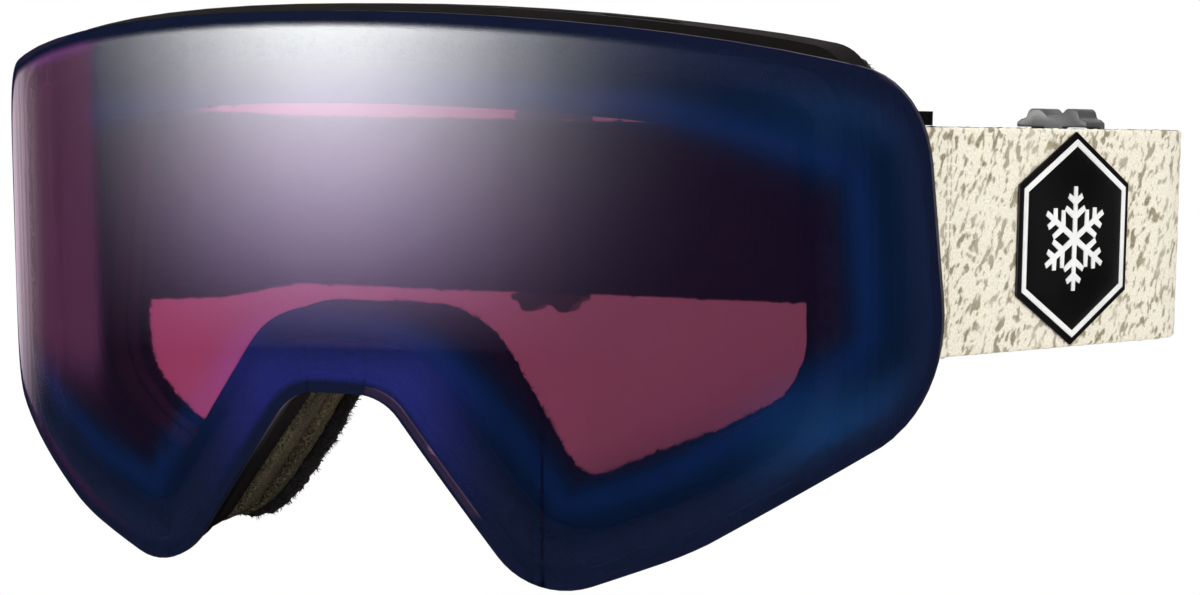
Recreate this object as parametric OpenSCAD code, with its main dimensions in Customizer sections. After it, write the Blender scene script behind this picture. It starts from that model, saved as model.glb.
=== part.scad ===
// Snow goggles: a cylindrical double lens on a carrier that snaps into a soft frame, face foam in
// three layers, hinged outriggers and a doubled elastic strap with two adjusting sliders.
// Millimetres. The wearer looks along -Y, +X is the wearer's left, +Z is up. The origin lies on the
// wearer's middle plane, at the height of the lens's middle line, level with the face at the brow.

/* [Lens] */
// Radius of the outer lens's front surface
lens_r = 107; // [102:0.5:115]
// Thickness of the outer lens
lens_t = 1.4; // [1.0:0.1:2.0]
// Height of the lens above its middle line
lens_top = 46.7; // [42:0.1:52]
// Half of the lens's width, measured round the curve at its lower corners
lens_half_arc = 110.2; // [106:0.1:114]
// Radius of the brow's long arc
brow_r = 432; // [380:2:520]
// Depth of the lens below its middle line at the cheek lobes
lens_bottom = 49.1; // [46:0.1:54]
// Distance of the cheek lobe's corner from the middle, round the curve
lobe_arc = 32.8; // [30:0.1:38]
// Height of the side's foot, measured from the middle line
side_foot = -19.8; // [-23:0.1:-17]
// Height of the nose arch's top, measured from the middle line
nose_top = -15.1; // [-19:0.1:-11]
// Half width of the nose arch's top
nose_half = 8; // [6.5:0.1:10]
// Distance from the front of the lens to the face at the brow
lens_reach = 42; // [40:0.5:48]

/* [Lens stack] */
// Height of the foam gasket between the two lenses
spacer_t = 3.4; // [2.5:0.1:4.5]
// Width of the foam gasket between the two lenses
spacer_w = 5; // [3:0.5:7]
// Thickness of the inner lens
inner_t = 0.8; // [0.6:0.1:1.2]
// Wall of the carrier round the lens stack
carrier_wall = 1.6; // [1.2:0.1:2.2]
// Thickness of the carrier's rear lip
carrier_lip = 1.6; // [1.2:0.1:2.2]
// Width of the carrier's rear lip
carrier_w = 8; // [7.5:0.5:12]
// Thickness of the carrier's wings, which back the lens where it overhangs the frame
wing_t = 0.6; // [0.4:0.1:0.7]
// Radius of the carrier's snap pegs
peg_r = 2.0; // [1.5:0.1:2.4]
// Reach of the snap pegs behind the carrier
peg_len = 4.5; // [3:0.5:5]

/* [Frame] */
// How far the frame stands above the lens at the brow
brow_proud = 1.2; // [0:0.1:2]
// How far the lens overhangs the frame at each side, round the curve
side_overhang = 18.5; // [17.5:0.5:21]
// How much further the lens overhangs at the foot of the side than at its top
side_taper = 6; // [4:0.5:8]
// Wall thickness of the frame
frame_wall = 2.0; // [1.6:0.1:2.6]
// Thickness of the frame's front and rear flanges
flange_t = 2.0; // [1.6:0.1:2.4]
// Radius of the face curve that the frame's rear follows
face_r = 95; // [90:1:105]
// Lean of the frame's rear, lower edge forward, in degrees
frame_lean = 7.5; // [5:0.5:9]
// Number of vent windows along the brow
brow_vents = 7; // [5:2:9]
// Length of one brow vent window
brow_vent_w = 13; // [9:0.5:15]
// Length of one cheek vent window
cheek_vent_w = 6; // [4:0.5:6.5]

/* [Face foam] */
// Thickness of the whole foam stack at the brow
foam_t = 18; // [14:0.5:22]
// Lean of the foam's face side, lower edge forward, in degrees
foam_lean = 9.5; // [8:0.5:11]
// Radius of the curve on the foam's face side
skin_r = 100; // [95:1:110]
// Share of the foam stack that is the firm base layer
base_share = 0.45; // [0.3:0.05:0.6]
// Share of the foam stack that is the fleece
fleece_share = 0.16; // [0.1:0.02:0.24]

/* [Outriggers] */
// Distance of the hinge pins from the middle, round the lens's curve
hinge_arc = 90.4; // [89:0.1:91]
// How far outwards of the hinge the strap's bar stands
bar_out = 5.2; // [5:0.1:6.5]
// How far behind the hinge the strap's bar stands
bar_back = 4.6; // [3.5:0.1:5]
// Radius of the hinge pins
pin_r = 1.0; // [0.8:0.1:1.3]
// Radius of the hinge barrels
barrel_r = 2.6; // [2.3:0.1:2.8]
// Radius of the bar that carries the strap
bar_r = 1.1; // [0.9:0.1:1.2]
// Thickness of the outrigger's end arms
arm_t = 2.4; // [2:0.2:3]

/* [Strap] */
// Width of the strap
strap_w = 40; // [30:1:42]
// Thickness of one layer of the strap
strap_t = 1.5; // [1.0:0.1:1.8]
// Angle at which the strap leaves the goggles, from the wearer's left
strap_angle = 59; // [56:0.5:62]
// Radius of the bend at the temple
temple_r = 18; // [14:1:24]
// Radius of the bend behind the ear
corner_r = 43; // [38:1:50]
// Half width of the strap loop
loop_half = 123.4; // [118:0.2:130]
// Droop of the strap towards the back, in degrees
strap_droop = 3; // [0:0.5:4]

/* [Sliders] */
// Whole height of a slider
slider_h = 48.5; // [48:0.5:52]
// Width of a slider at the strap's edge
slider_w = 17; // [14:0.5:20]
// Thickness of a slider's plates
slider_t = 2.0; // [1.5:0.1:2.5]
// Angle of the left slider round the corner bend
slider_left_at = 66; // [20:1:72]
// Place of the right slider along the back of the strap
slider_right_at = -19; // [-60:1:40]

/* [Patch] */
// Half width of the six-sided patch
patch_half_w = 16.2; // [12:0.1:18]
// Half height of the six-sided patch
patch_half_h = 19.6; // [16:0.1:19.8]
// Half height of the patch's upright sides
patch_side_h = 10; // [7:0.1:12]
// Distance of the patch from the start of the strap
patch_at = 42; // [35:0.5:46]
// Distance of the pale line from the patch's edge
line_in = 1.2; // [0.8:0.1:2]
// Width of the pale line inside the patch's edge
line_w = 1.1; // [0.8:0.1:2]
// Thickness of the patch
patch_t = 0.5; // [0.4:0.1:0.8]

/* [Hidden] */

$fn = 144;
// Clearance between parts that move past each other, and between soft parts
gap = 0.3;
// Clearance between the lens stack and the carrier's wall
fit_gap = 0.2;
// Running clearance of the hinge pins in their holes
pin_gap = 0.05;
// Clearance round a snap peg in its socket
peg_gap = 0.15;
// Angle that one step of a rounded corner turns through
corner_step = 7.5;
// Height that the face curve's lean is measured from, on the middle of the brow foam
lean_z = 40;
// Length that is more than any part, for cutting
far = 400;

// Places of the lens's shells, as radii about the lens axis
axis_y = lens_r - lens_reach;
lens_back_r = lens_r - lens_t;
inner_front_r = lens_back_r - spacer_t;
inner_back_r = inner_front_r - inner_t;
carrier_back_r = inner_back_r - carrier_lip;
frame_front_r = carrier_back_r - gap;
flange_back_r = frame_front_r - flange_t;
frame_rear_y = -foam_t;

// The brow is one long arc, held here by the corners of the line round it
brow_turn = 11.1;
brow_corners = 3;
// How much further out the side's foot stands than its top, and the corner below the cheek
side_slope = 7.6;
cheek_corner = [58, -41.5];
brow_step = brow_turn/brow_corners;
function on_brow(angle, r) = [r*sin(angle), lens_top - brow_r + r*cos(angle)];
brow_end = on_brow(brow_turn, brow_r);
side_top_u = lens_half_arc - side_slope;

// Corners of the lens outline's right half, from the brow's middle round to the nose arch
corners = concat(
    [[0, lens_top]],
    [for (i = [0:brow_corners - 1]) on_brow((i + 0.5)*brow_step, brow_r/cos(brow_step/2))],
    [[side_top_u, brow_end.y - (side_top_u - brow_end.x)*tan(brow_turn)],
     [lens_half_arc, side_foot], cheek_corner, [lobe_arc, -lens_bottom],
     [nose_half, nose_top], [0, nose_top]]);
// Radii of the corners after the brow: side's top, side's foot, cheek, lobe, nose
lens_radii = [20, 22, 80, 14, 9];
frame_radii = [12, 22, 80, 12, 9];
open_radii = [9, 34, 60, 7, 16];

// Insets from the lens outline: brow, side, cheek, lobe, nose, bridge, then what the side's inset
// gains from its top to its foot
lens_in = [0, 0, 0, 0, 0, 0, 0];
carrier_in = [0.8, side_overhang - 1.2, 1.2, 1.2, 1.2, 1.2, side_taper];
wing_in = [1, 0.6, 1.5, 1.5, 1.5, 1.5, 0];
frame_in = [-brow_proud, side_overhang, 2.4, 2.4, 1.6, 1.6, side_taper];
open_in = [15, 27.5, 15, 15.5, 13, 13, 2];
foam_out_in = [1.2, side_overhang + 2, 4, 4, 1.4, 1.6, side_taper];
foam_open_in = [14.6, 34, 15, 15, 8.5, 10, 2];

// Snap pegs: distance from the middle round the curve, and height
peg_places = [[34, 37.2], [80.2, 8], [52, -36]];

// Hinge pin of the left outrigger and the bar that carries the strap, seen from above
hinge_x = across(hinge_arc);
hinge_xy = [hinge_x, shell_y(hinge_x, frame_front_r) - gap];
bar_xy = hinge_xy + [bar_out, bar_back];
// Height of the strap's middle at the outrigger
strap_z = 6.9;
// Distance from the hinge at which the strap's fold ends
split_r = 14.5;
// Half the distance between the middles of the two strap layers
layer = strap_t/2 + 0.1;
strap_half_t = strap_t + 0.1;
slider_in = strap_half_t + gap;
slider_out = slider_in + slider_t;

// Sideways place of a point at a distance u round the lens's curve
function across(u) = lens_r*sin(u/lens_r*180/PI);
// Insets that are all larger by v, with the side's taper as it was
function plus(ins, v) = concat([for (i = [0:5]) ins[i] + v], [ins[6]]);
// A list between two lists
function mix(a, b, t) = [for (i = [0:len(a) - 1]) a[i]*(1 - t) + b[i]*t];
// Right-hand normal of the edge from a to b
function normal(a, b) = let (d = b - a) [d.y, -d.x]/norm(d);
// Where the lines through p along d and through q along e meet
function meet(p, d, q, e) = p + d*((q.x - p.x)*e.y - (q.y - p.y)*e.x)/(d.x*e.y - d.y*e.x);

// Edge i of the half outline moved inwards, as a point on it and its direction. The brow's edges
// share one inset, and the side's inset grows from its top to its foot.
function moved_edge(i, ins) =
    let (n = normal(corners[i], corners[i + 1]))
    let (extra = i == brow_corners + 1 ? ins[6] : 0)
    [corners[i] + n*ins[max(i - brow_corners, 0)], corners[i + 1] - corners[i] + n*extra];

// Corners of the half outline with each edge moved inwards
function inset_corners(ins) = let (n = len(corners) - 1) [
    for (i = [0:n])
        let (a = moved_edge(max(i - 1, 0), ins))
        let (b = i == 0 || i == n ? [[0, 0], [0, 1]] : moved_edge(i, ins))
        meet(a[0], a[1], b[0], b[1])];

// Steps in the rounding of each corner, the same for every inset of the outline
function steps_at(i) =
    let (u = corners[i] - corners[i - 1])
    let (v = corners[i + 1] - corners[i])
    max(3, ceil(acos(u*v/norm(u)/norm(v))/corner_step));

// Points of one rounded corner at b between a and c. The rounding takes at most the share
// room_a and room_c of its two edges.
function round_corner(a, b, c, r, room_a, room_c, steps) =
    let (u = (a - b)/norm(a - b))
    let (v = (c - b)/norm(c - b))
    let (half = acos(u*v)/2)
    let (t = min(r/tan(half), room_a*norm(a - b), room_c*norm(c - b)))
    let (m = b + (u + v)/norm(u + v)*t/cos(half))
    let (turn = 180 - 2*half)
    let (p = b + u*t - m)
    let (side = u.x*v.y - u.y*v.x > 0 ? 1 : -1)
    [for (i = [0:steps])
        let (k = -side*turn*i/steps)
        m + [p.x*cos(k) - p.y*sin(k), p.x*sin(k) + p.y*cos(k)]];

// The rounded half outline, as distance round the lens's curve and height
function half_outline(ins, radii) =
    let (c = inset_corners(ins))
    let (n = len(c) - 2)
    [for (i = [1:n])
        let (rad = i <= brow_corners ? brow_r - ins[0] : radii[i - 1 - brow_corners])
        let (room_a = i == 1 ? 0.97 : 0.49)
        let (room_c = i == n ? 0.97 : 0.49)
        each round_corner(c[i - 1], c[i], c[i + 1], rad, room_a, room_c, steps_at(i))];

// The whole outline as seen from the front, wrapped round the lens's curve
function outline(ins, radii) =
    let (h = half_outline(ins, radii))
    let (n = len(h) - 1)
    let (f = [for (p = h) [across(p.x), p.y]])
    concat(f, [for (i = [n:-1:0]) [-f[i].x, f[i].y]]);

// Depth of the lens-shaped surface of radius r at x
function shell_y(x, r) = axis_y - sqrt(r*r - x*x);
// Depth of a leaning face curve at x and z
function face_y(x, z, y0, r, lean) = y0 + (r - sqrt(r*r - x*x))/cos(lean) + (z - lean_z)*tan(lean);
// Depth inside the foam stack, from the frame at share 0 to the face at share 1
function foam_y(x, z, share) =
    face_y(x, z, frame_rear_y, face_r, frame_lean)*(1 - share)
    + face_y(x, z, 0, skin_r, foam_lean)*share;

// Prism of an outline, from the lens axis forwards
module prism(points) {
    translate([0, axis_y, 0])
        rotate([90, 0, 0])
            linear_extrude(height = far)
                polygon(points);
}

// Ring between two outlines, from the lens axis forwards
module ring_prism(outer, inner) {
    translate([0, axis_y, 0])
        rotate([90, 0, 0])
            linear_extrude(height = far)
                difference() {
                    polygon(outer);
                    polygon(inner);
                }
}

// Everything between two radii about the lens axis
module shell(r_out, r_in) {
    translate([0, axis_y, 0])
        difference() {
            cylinder(r = r_out, h = far, center = true);
            cylinder(r = r_in, h = far + 2, center = true);
        }
}

// The space on the face side of a leaning face curve
module face_side(y0, r, lean) {
    translate([0, y0, lean_z])
        rotate([-lean, 0, 0])
            translate([0, r, 0])
                cylinder(r = r, h = far, center = true);
}

// Children at every peg place, on both sides
module at_pegs() {
    for (side = [-1, 1])
        for (p = peg_places)
            let (x = across(p.x))
                translate([side*x, shell_y(x, frame_front_r), p.y])
                    rotate([-90, 0, 0])
                        children();
}

// The leaning plane of the strap, with its middle height at z 0
module strap_plane() {
    translate([0, bar_xy.y, strap_z])
        rotate([-strap_droop, 0, 0])
            translate([0, -bar_xy.y, 0])
                children();
}

module outer_lens() {
    color([0.16, 0.14, 0.42])
        intersection() {
            prism(outline(lens_in, lens_radii));
            shell(lens_r, lens_back_r);
        }
}

module inner_lens() {
    color([0.80, 0.42, 0.56])
        intersection() {
            prism(outline(plus(carrier_in, carrier_wall + fit_gap), frame_radii));
            shell(inner_front_r, inner_back_r);
        }
}

module lens_spacer_foam() {
    color([0.16, 0.16, 0.17])
        intersection() {
            ring_prism(outline(plus(carrier_in, carrier_wall + 2*fit_gap), frame_radii),
                       outline(plus(carrier_in, carrier_wall + 2*fit_gap + spacer_w),
                               frame_radii));
            shell(lens_back_r, inner_front_r);
        }
}

module lens_carrier() {
    rim = outline(carrier_in, frame_radii);
    color([0.08, 0.08, 0.09]) {
        intersection() {
            ring_prism(rim, outline(plus(carrier_in, carrier_wall), frame_radii));
            shell(lens_back_r, carrier_back_r);
        }
        intersection() {
            ring_prism(rim, outline(plus(carrier_in, carrier_w), frame_radii));
            shell(inner_back_r, carrier_back_r);
        }
        intersection() {
            ring_prism(outline(wing_in, lens_radii),
                       outline(plus(carrier_in, carrier_wall/2), frame_radii));
            shell(lens_back_r, lens_back_r - wing_t);
        }
        at_pegs()
            translate([0, 0, -gap - carrier_lip/2])
                cylinder(r = peg_r, h = peg_len + carrier_lip/2, $fn = 32);
    }
}

// The frame's outer wall and its two flanges, without any openings
module frame_shell() {
    out = outline(frame_in, frame_radii);
    difference() {
        union() {
            intersection() {
                ring_prism(out, outline(plus(frame_in, frame_wall), frame_radii));
                shell(frame_front_r, 1);
            }
            intersection() {
                ring_prism(out, outline(open_in, open_radii));
                shell(frame_front_r, flange_back_r);
            }
            intersection() {
                ring_prism(out, outline(open_in, open_radii));
                shell(frame_front_r, 1);
                face_side(frame_rear_y - flange_t, face_r, frame_lean);
            }
            intersection() {
                at_pegs()
                    cylinder(r = peg_r + socket_wall, h = far, $fn = 32);
                shell(frame_front_r, 1);
                prism(out);
            }
            frame_lugs();
        }
        face_side(frame_rear_y, face_r, frame_lean);
    }
}

socket_wall = 1.6;

// Lugs on both sides that hold the hinge pins
module frame_lugs() {
    for (side = [0, 1])
        mirror([side, 0, 0])
            strap_plane()
                for (end = [-1, 1])
                    translate([0, 0, end*(lug_z + lug_h/2) - lug_h/2]) {
                        translate([hinge_xy.x, hinge_xy.y, 0])
                            cylinder(r = barrel_r, h = lug_h, $fn = 48);
                        translate([hinge_xy.x - lug_reach, hinge_xy.y - arm_half, 0])
                            cube([lug_reach, 2*arm_half, lug_h]);
                    }
}
arm_half = barrel_r - 0.5;
arm_z = strap_w/2 + gap;
lug_z = arm_z + arm_t + gap;
lug_h = 3.2;
lug_reach = 6.4;

// Upright slot through the frame's wall, at an angle round the lens axis, from a height upwards
module vent_slot(angle, width, low) {
    translate([0, axis_y, low])
        rotate([0, 0, angle])
            translate([-width/2, -far, 0])
                cube([width, far, vent_band]);
}

// The vent windows, which pass through the frame's wall and nothing else
module vent_windows() {
    pitch = 2*asin((brow_vent_w + vent_rib)/2/flange_back_r);
    intersection() {
        ring_prism(outline(plus(frame_in, -1), frame_radii),
                   outline(plus(frame_in, frame_wall + 0.1), frame_radii));
        union() {
            intersection() {
                shell(flange_back_r - brow_vent_from, flange_back_r - brow_vent_to);
                union() {
                    for (i = [-(brow_vents - 1)/2:(brow_vents - 1)/2])
                        vent_slot(i*pitch, brow_vent_w, brow_vent_low);
                }
            }
            intersection() {
                shell(flange_back_r - cheek_vent_from, flange_back_r - cheek_vent_to);
                union() {
                    for (side = [-1, 1])
                        for (angle = cheek_vents)
                            vent_slot(side*angle, cheek_vent_w, cheek_vent_low);
                }
            }
        }
    }
}
// Rib between two brow vents, and how far behind the front flange the windows begin and end
vent_rib = 3.2;
brow_vent_from = 1.5;
brow_vent_to = 7.5;
cheek_vent_from = 0.6;
cheek_vent_to = 3.4;
// Angles of the cheek vents round the lens axis, and the band of heights that each window takes
cheek_vents = [40.8, 46.2];
brow_vent_low = 25;
cheek_vent_low = -60;
vent_band = 40;

module frame() {
    color([0.10, 0.10, 0.11])
        difference() {
            frame_shell();
            vent_windows();
            at_pegs()
                translate([0, 0, -far])
                    cylinder(r = peg_r + peg_gap, h = far + peg_len + 0.5, $fn = 32);
            for (side = [0, 1])
                mirror([side, 0, 0])
                    strap_plane()
                        translate(hinge_xy)
                            cylinder(r = pin_r + pin_gap, h = far, center = true, $fn = 32);
        }
}

// Strip of open-cell foam against the inside of the frame's wall, clear of both flanges
module vent_strip(depth) {
    ins = plus(frame_in, frame_wall + gap);
    difference() {
        intersection() {
            ring_prism(outline(ins, frame_radii), outline(plus(ins, vent_foam_t), frame_radii));
            shell(flange_back_r - gap, flange_back_r - depth);
        }
        face_side(frame_rear_y - flange_t - gap, face_r, frame_lean);
    }
}

module vent_foam_top() {
    color([0.20, 0.20, 0.21])
        difference() {
            intersection() {
                vent_strip(brow_vent_to + 2);
                translate([-brow_strip_half, -far, brow_strip_low])
                    cube([2*brow_strip_half, 2*far, far]);
            }
            at_pegs()
                cylinder(r = peg_r + socket_wall + gap, h = far, $fn = 32);
        }
}
vent_foam_t = 3;
// Half length and lowest point of the brow's strip, then place, length and top of the cheeks'
brow_strip_half = 62;
brow_strip_low = 30;
cheek_strip_at = 66;
cheek_strip_w = 17;
cheek_strip_top = -20;

module vent_foam_bottom() {
    color([0.20, 0.20, 0.21])
        intersection() {
            vent_strip(cheek_vent_to);
            union() {
                for (side = [-1, 1])
                    translate([side*cheek_strip_at - cheek_strip_w/2, -far, cheek_strip_top - far])
                        cube([cheek_strip_w, 2*far, far]);
            }
        }
}

module foam_base() {
    color([0.33, 0.30, 0.27])
        difference() {
            intersection() {
                ring_prism(outline(foam_out_in, frame_radii), outline(foam_open_in, open_radii));
                face_side(frame_rear_y, face_r, frame_lean);
            }
            face_side(base_face_y, base_face_r, base_lean);
        }
}
base_face_y = frame_rear_y*(1 - base_share);
base_face_r = face_r*(1 - base_share) + skin_r*base_share;
base_lean = frame_lean*(1 - base_share) + foam_lean*base_share;

// Soft ring swept round the opening. Each section point is a share of the way from the outer to
// the inner outline, and a share of the depth of the foam stack.
module soft_ring(section) {
    count = len(section);
    loops = [for (s = section)
        let (ins = mix(foam_out_in, foam_open_in, s.x))
        let (rad = mix(frame_radii, open_radii, s.x))
        [for (p = outline(ins, rad)) [p.x, foam_y(p.x, p.y, s.y), p.y]]];
    n = len(loops[0]);
    points = [for (l = loops) each l];
    faces = [for (j = [0:count - 1]) for (i = [0:n - 1])
        let (a = j*n + i)
        let (b = j*n + (i + 1)%n)
        let (c = ((j + 1)%count)*n + i)
        let (d = ((j + 1)%count)*n + (i + 1)%n)
        each [[a, b, d], [a, d, c]]];
    polyhedron(points, faces);
}

module face_foam() {
    color([0.24, 0.22, 0.20])
        soft_ring([[0, foam_low], [drawn_in, foam_mid], [0.6*drawn_in, foam_high],
                   [1 - 0.6*drawn_in, foam_high], [1 - drawn_in, foam_mid], [1, foam_low]]);
}

// Depths of the soft layer as shares of the stack, and how far its sides are drawn in
skin_share = 0.02;
foam_low = base_share + skin_share;
foam_high = 1 - fleece_share - skin_share;
foam_mid = (foam_low + foam_high)/2;
drawn_in = 0.05;

module fleece_lining() {
    low = 1 - fleece_share;
    color([0.05, 0.05, 0.05])
        soft_ring([[0, low], [0.02, low + 0.06], [0.14, 0.97], [0.35, 1], [0.65, 1],
                   [0.86, 0.97], [0.98, low + 0.06], [1, low]]);
}

// The strap's middle line seen from above: a straight run from the bar, the bend at the temple and
// the bend behind the ear. Each point is [x, y, heading, distance from the bar].
function route_to(last) = concat(
    [for (s = [0, 2, 4, 6, 8, 10, run_len - 0.5])
        [bar_xy.x + s*cos(strap_angle), bar_xy.y + s*sin(strap_angle), strap_angle, s]],
    [for (i = [0:6])
        let (k = strap_angle + (90 - strap_angle)*i/6)
        [temple_c.x + temple_r*sin(k), temple_c.y - temple_r*cos(k), k, run_len]],
    [for (i = [1:bend_steps])
        let (k = 90 + (last - 90)*i/bend_steps)
        [corner_c.x + corner_r*sin(k), corner_c.y - corner_r*cos(k), k, run_len]]);
bend_steps = 26;
// Length of the straight run, the middles of the two bends, and the place of the strap's back
run_len = (loop_half - temple_r + temple_r*sin(strap_angle) - bar_xy.x)/cos(strap_angle);
temple_c = [loop_half - temple_r,
            bar_xy.y + run_len*sin(strap_angle) + temple_r*cos(strap_angle)];
corner_c = [loop_half - corner_r, temple_c.y];
back_y = corner_c.y + corner_r;

// How far a layer's middle lies from the strap's middle line: round the bar the layers part
open_len = 10;
function layer_at(s) = layer
    + (bar_r + gap/2 + strap_t/2 - layer)*(s < open_len ? (1 + cos(180*s/open_len))/2 : 0);

// Flat outline of one strap layer seen from above, outer (side 1) or inner (side -1)
function ribbon(points, side) =
    let (edge = function (p, half) let (n = side*layer_at(p[3]) + half)
        [p.x + n*sin(p[2]), p.y - n*cos(p[2])])
    concat([for (p = points) edge(p, strap_t/2)],
           [for (i = [len(points) - 1:-1:0]) edge(points[i], -strap_t/2)]);

// One layer of the strap as a solid
module webbing(points, side) {
    translate([0, 0, -strap_w/2])
        linear_extrude(height = strap_w)
            polygon(ribbon(points, side));
}

// Space round the left hinge that swings with the outrigger
module swing_space(r) {
    translate(hinge_xy)
        cylinder(r = r, h = far, center = true);
}

strap_colour = [0.84, 0.81, 0.74];

// The turn round the bar reaches into the two layers by some degrees and is a little thinner, so
// that its ends lie inside them
turn_lap = 8;
turn_in = 0.1;

module strap_fold_left() {
    color(strap_colour)
        strap_plane()
            intersection() {
                union() {
                    webbing(route_to(100), 1);
                    webbing(route_to(100), -1);
                    translate([bar_xy.x, bar_xy.y, turn_in - strap_w/2])
                        rotate([0, 0, strap_angle + 90 - turn_lap])
                            rotate_extrude(angle = 180 + 2*turn_lap)
                                translate([bar_r + gap/2 + turn_in, 0])
                                    square([strap_t - 2*turn_in, strap_w - 2*turn_in]);
                }
                swing_space(split_r);
            }
}

module strap_fold_right() {
    mirror([1, 0, 0])
        strap_fold_left();
}

module strap_left() {
    color(strap_colour)
        strap_plane()
            difference() {
                webbing(route_to(180), 1);
                swing_space(split_r + gap);
            }
}

module strap_right() {
    mirror([1, 0, 0])
        strap_left();
}

module strap_rear() {
    color(strap_colour)
        strap_plane()
            translate([-corner_c.x, back_y + layer - strap_t/2, -strap_w/2])
                cube([2*corner_c.x, strap_t, strap_w]);
}

module strap_tail_left() {
    color(strap_colour)
        strap_plane()
            difference() {
                webbing(route_to(90 + slider_left_at), -1);
                swing_space(split_r + gap);
            }
}

module strap_tail_right() {
    color(strap_colour)
        strap_plane() {
            mirror([1, 0, 0])
                difference() {
                    webbing(route_to(180), -1);
                    swing_space(split_r + gap);
                }
            translate([-corner_c.x, back_y - layer - strap_t/2, -strap_w/2])
                cube([slider_right_at + corner_c.x, strap_t, strap_w]);
        }
}

// Outline of a slider seen from outside: ends stepped in, each with two lobes and a notch
function slider_end() =
    let (w = slider_w/2)
    let (tip = slider_h/2)
    let (edge = strap_w/2 + gap)
    let (rise = tip - edge)
    [[w, 0], [w, edge + 0.25*rise], [w - 0.9, edge + 0.42*rise], [w - 2, edge + 0.5*rise],
     [w - 2.5, edge + 0.85*rise], [w - 3.1, tip], [w - 5.4, tip], [w - 6.2, edge + 0.8*rise],
     [w - 7, edge + 0.62*rise], [0, edge + 0.58*rise]];
function slider_outline() =
    let (e = slider_end())
    let (n = len(e) - 1)
    concat(e, [for (i = [n - 1:-1:0]) [-e[i].x, e[i].y]],
           [for (i = [1:n]) [-e[i].x, -e[i].y]], [for (i = [n - 1:-1:1]) [e[i].x, -e[i].y]]);
slider_bar = 3.6;
middle_bar = 4.6;

// Prism of a slider's outline. The strap's inner side lies at negative depth.
module slider_plate() {
    rotate([90, 0, 0])
        linear_extrude(height = 2*slider_reach, center = true)
            polygon(slider_outline());
}

// Window between two places across a slider, through all its plates
module slider_window(x0, x1) {
    translate([x0, -slider_reach, -strap_w/2 - gap])
        cube([x1 - x0, 2*slider_reach, strap_w + 2*gap]);
}
slider_reach = 12;

// Windows of the outer plate, which leave two bars
module outer_windows() {
    slider_window(-slider_w/2 + slider_bar, slider_w/2 - slider_bar);
}

// Windows of the inner plate, which leave one bar in the middle
module inner_windows() {
    slider_window(-slider_w, -middle_bar/2);
    slider_window(middle_bar/2, slider_w);
}

slider_colour = [0.47, 0.48, 0.50];

// Everything between two radii about the middle of the bend behind the ear
module bent(r0, r1) {
    translate(corner_c)
        difference() {
            cylinder(r = r1, h = far, center = true);
            cylinder(r = r0, h = far + 2, center = true);
        }
}

module at_bend(angle) {
    translate([corner_c.x, corner_c.y, 0])
        rotate([0, 0, angle - 90])
            translate([0, corner_r, 0])
                children();
}

module slider_left() {
    color(slider_colour)
        strap_plane() {
            difference() {
                intersection() {
                    at_bend(slider_left_at)
                        slider_plate();
                    bent(corner_r - slider_out, corner_r + slider_out);
                }
                intersection() {
                    at_bend(slider_left_at)
                        slider_window(-slider_w, slider_w);
                    bent(corner_r - slider_in, corner_r + slider_in);
                }
                intersection() {
                    at_bend(slider_left_at)
                        outer_windows();
                    bent(corner_r, corner_r + slider_reach);
                }
                intersection() {
                    at_bend(slider_left_at)
                        inner_windows();
                    bent(corner_r - slider_reach, corner_r);
                }
            }
        }
}

module slider_right() {
    color(slider_colour)
        strap_plane()
            translate([slider_right_at, back_y, 0])
                difference() {
                    intersection() {
                        slider_plate();
                        translate([-far/2, -slider_out, -far/2])
                            cube([far, 2*slider_out, far]);
                    }
                    translate([-slider_w, -slider_in, -strap_w/2 - gap])
                        cube([2*slider_w, 2*slider_in, strap_w + 2*gap]);
                    intersection() {
                        outer_windows();
                        translate([-slider_w, 0, -far/2])
                            cube([2*slider_w, far, far]);
                    }
                    intersection() {
                        inner_windows();
                        translate([-slider_w, -far, -far/2])
                            cube([2*slider_w, far, far]);
                    }
                }
}

// Upright six-sided outline with points above and below
function six_sided(inset) =
    let (w = patch_half_w - inset)
    let (slope = (patch_half_h - patch_side_h)/patch_half_w)
    let (tip = patch_half_h - inset*norm([1, slope]))
    let (side = tip - slope*w)
    [[0, tip], [w, side], [w, -side], [0, -tip], [-w, -side], [-w, side]];

// Children on the outer side of the left strap's straight run, with -Y outwards
module on_strap(lift) {
    strap_plane()
        translate([bar_xy.x + patch_at*cos(strap_angle), bar_xy.y + patch_at*sin(strap_angle), 0])
            rotate([0, 0, strap_angle])
                translate([0, -strap_half_t - lift, 0])
                    rotate([90, 0, 0])
                        children();
}
line_t = 0.25;

module patch() {
    color([0.06, 0.06, 0.06])
        on_strap(0)
            linear_extrude(height = patch_t)
                polygon(six_sided(0));
}

module patch_line() {
    color([0.90, 0.90, 0.88])
        on_strap(patch_t)
            linear_extrude(height = line_t)
                difference() {
                    polygon(six_sided(line_in));
                    polygon(six_sided(line_in + line_w));
                }
}

module outrigger() {
    strap_plane()
        difference() {
            union() {
                translate(hinge_xy)
                    cylinder(r = barrel_r, h = 2*(arm_z + arm_t), center = true, $fn = 48);
                translate(bar_xy)
                    cylinder(r = bar_r, h = 2*arm_z + arm_t, center = true, $fn = 48);
                for (end = [-1, 1])
                    translate([0, 0, end*(arm_z + arm_t/2) - arm_t/2])
                        outrigger_arm();
            }
            translate(hinge_xy)
                cylinder(r = pin_r + pin_gap, h = far, center = true, $fn = 32);
        }
}

// End arm of an outrigger, from its barrel to the strap bar
module outrigger_arm() {
    reach = bar_xy - hinge_xy;
    translate(bar_xy)
        cylinder(r = barrel_r, h = arm_t, $fn = 48);
    translate(hinge_xy)
        rotate([0, 0, atan2(reach.y, reach.x)])
            translate([0, -arm_half, 0])
                cube([norm(reach), 2*arm_half, arm_t]);
}

module outrigger_left() {
    color([0.09, 0.09, 0.10])
        outrigger();
}

module outrigger_right() {
    mirror([1, 0, 0])
        outrigger_left();
}

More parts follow.
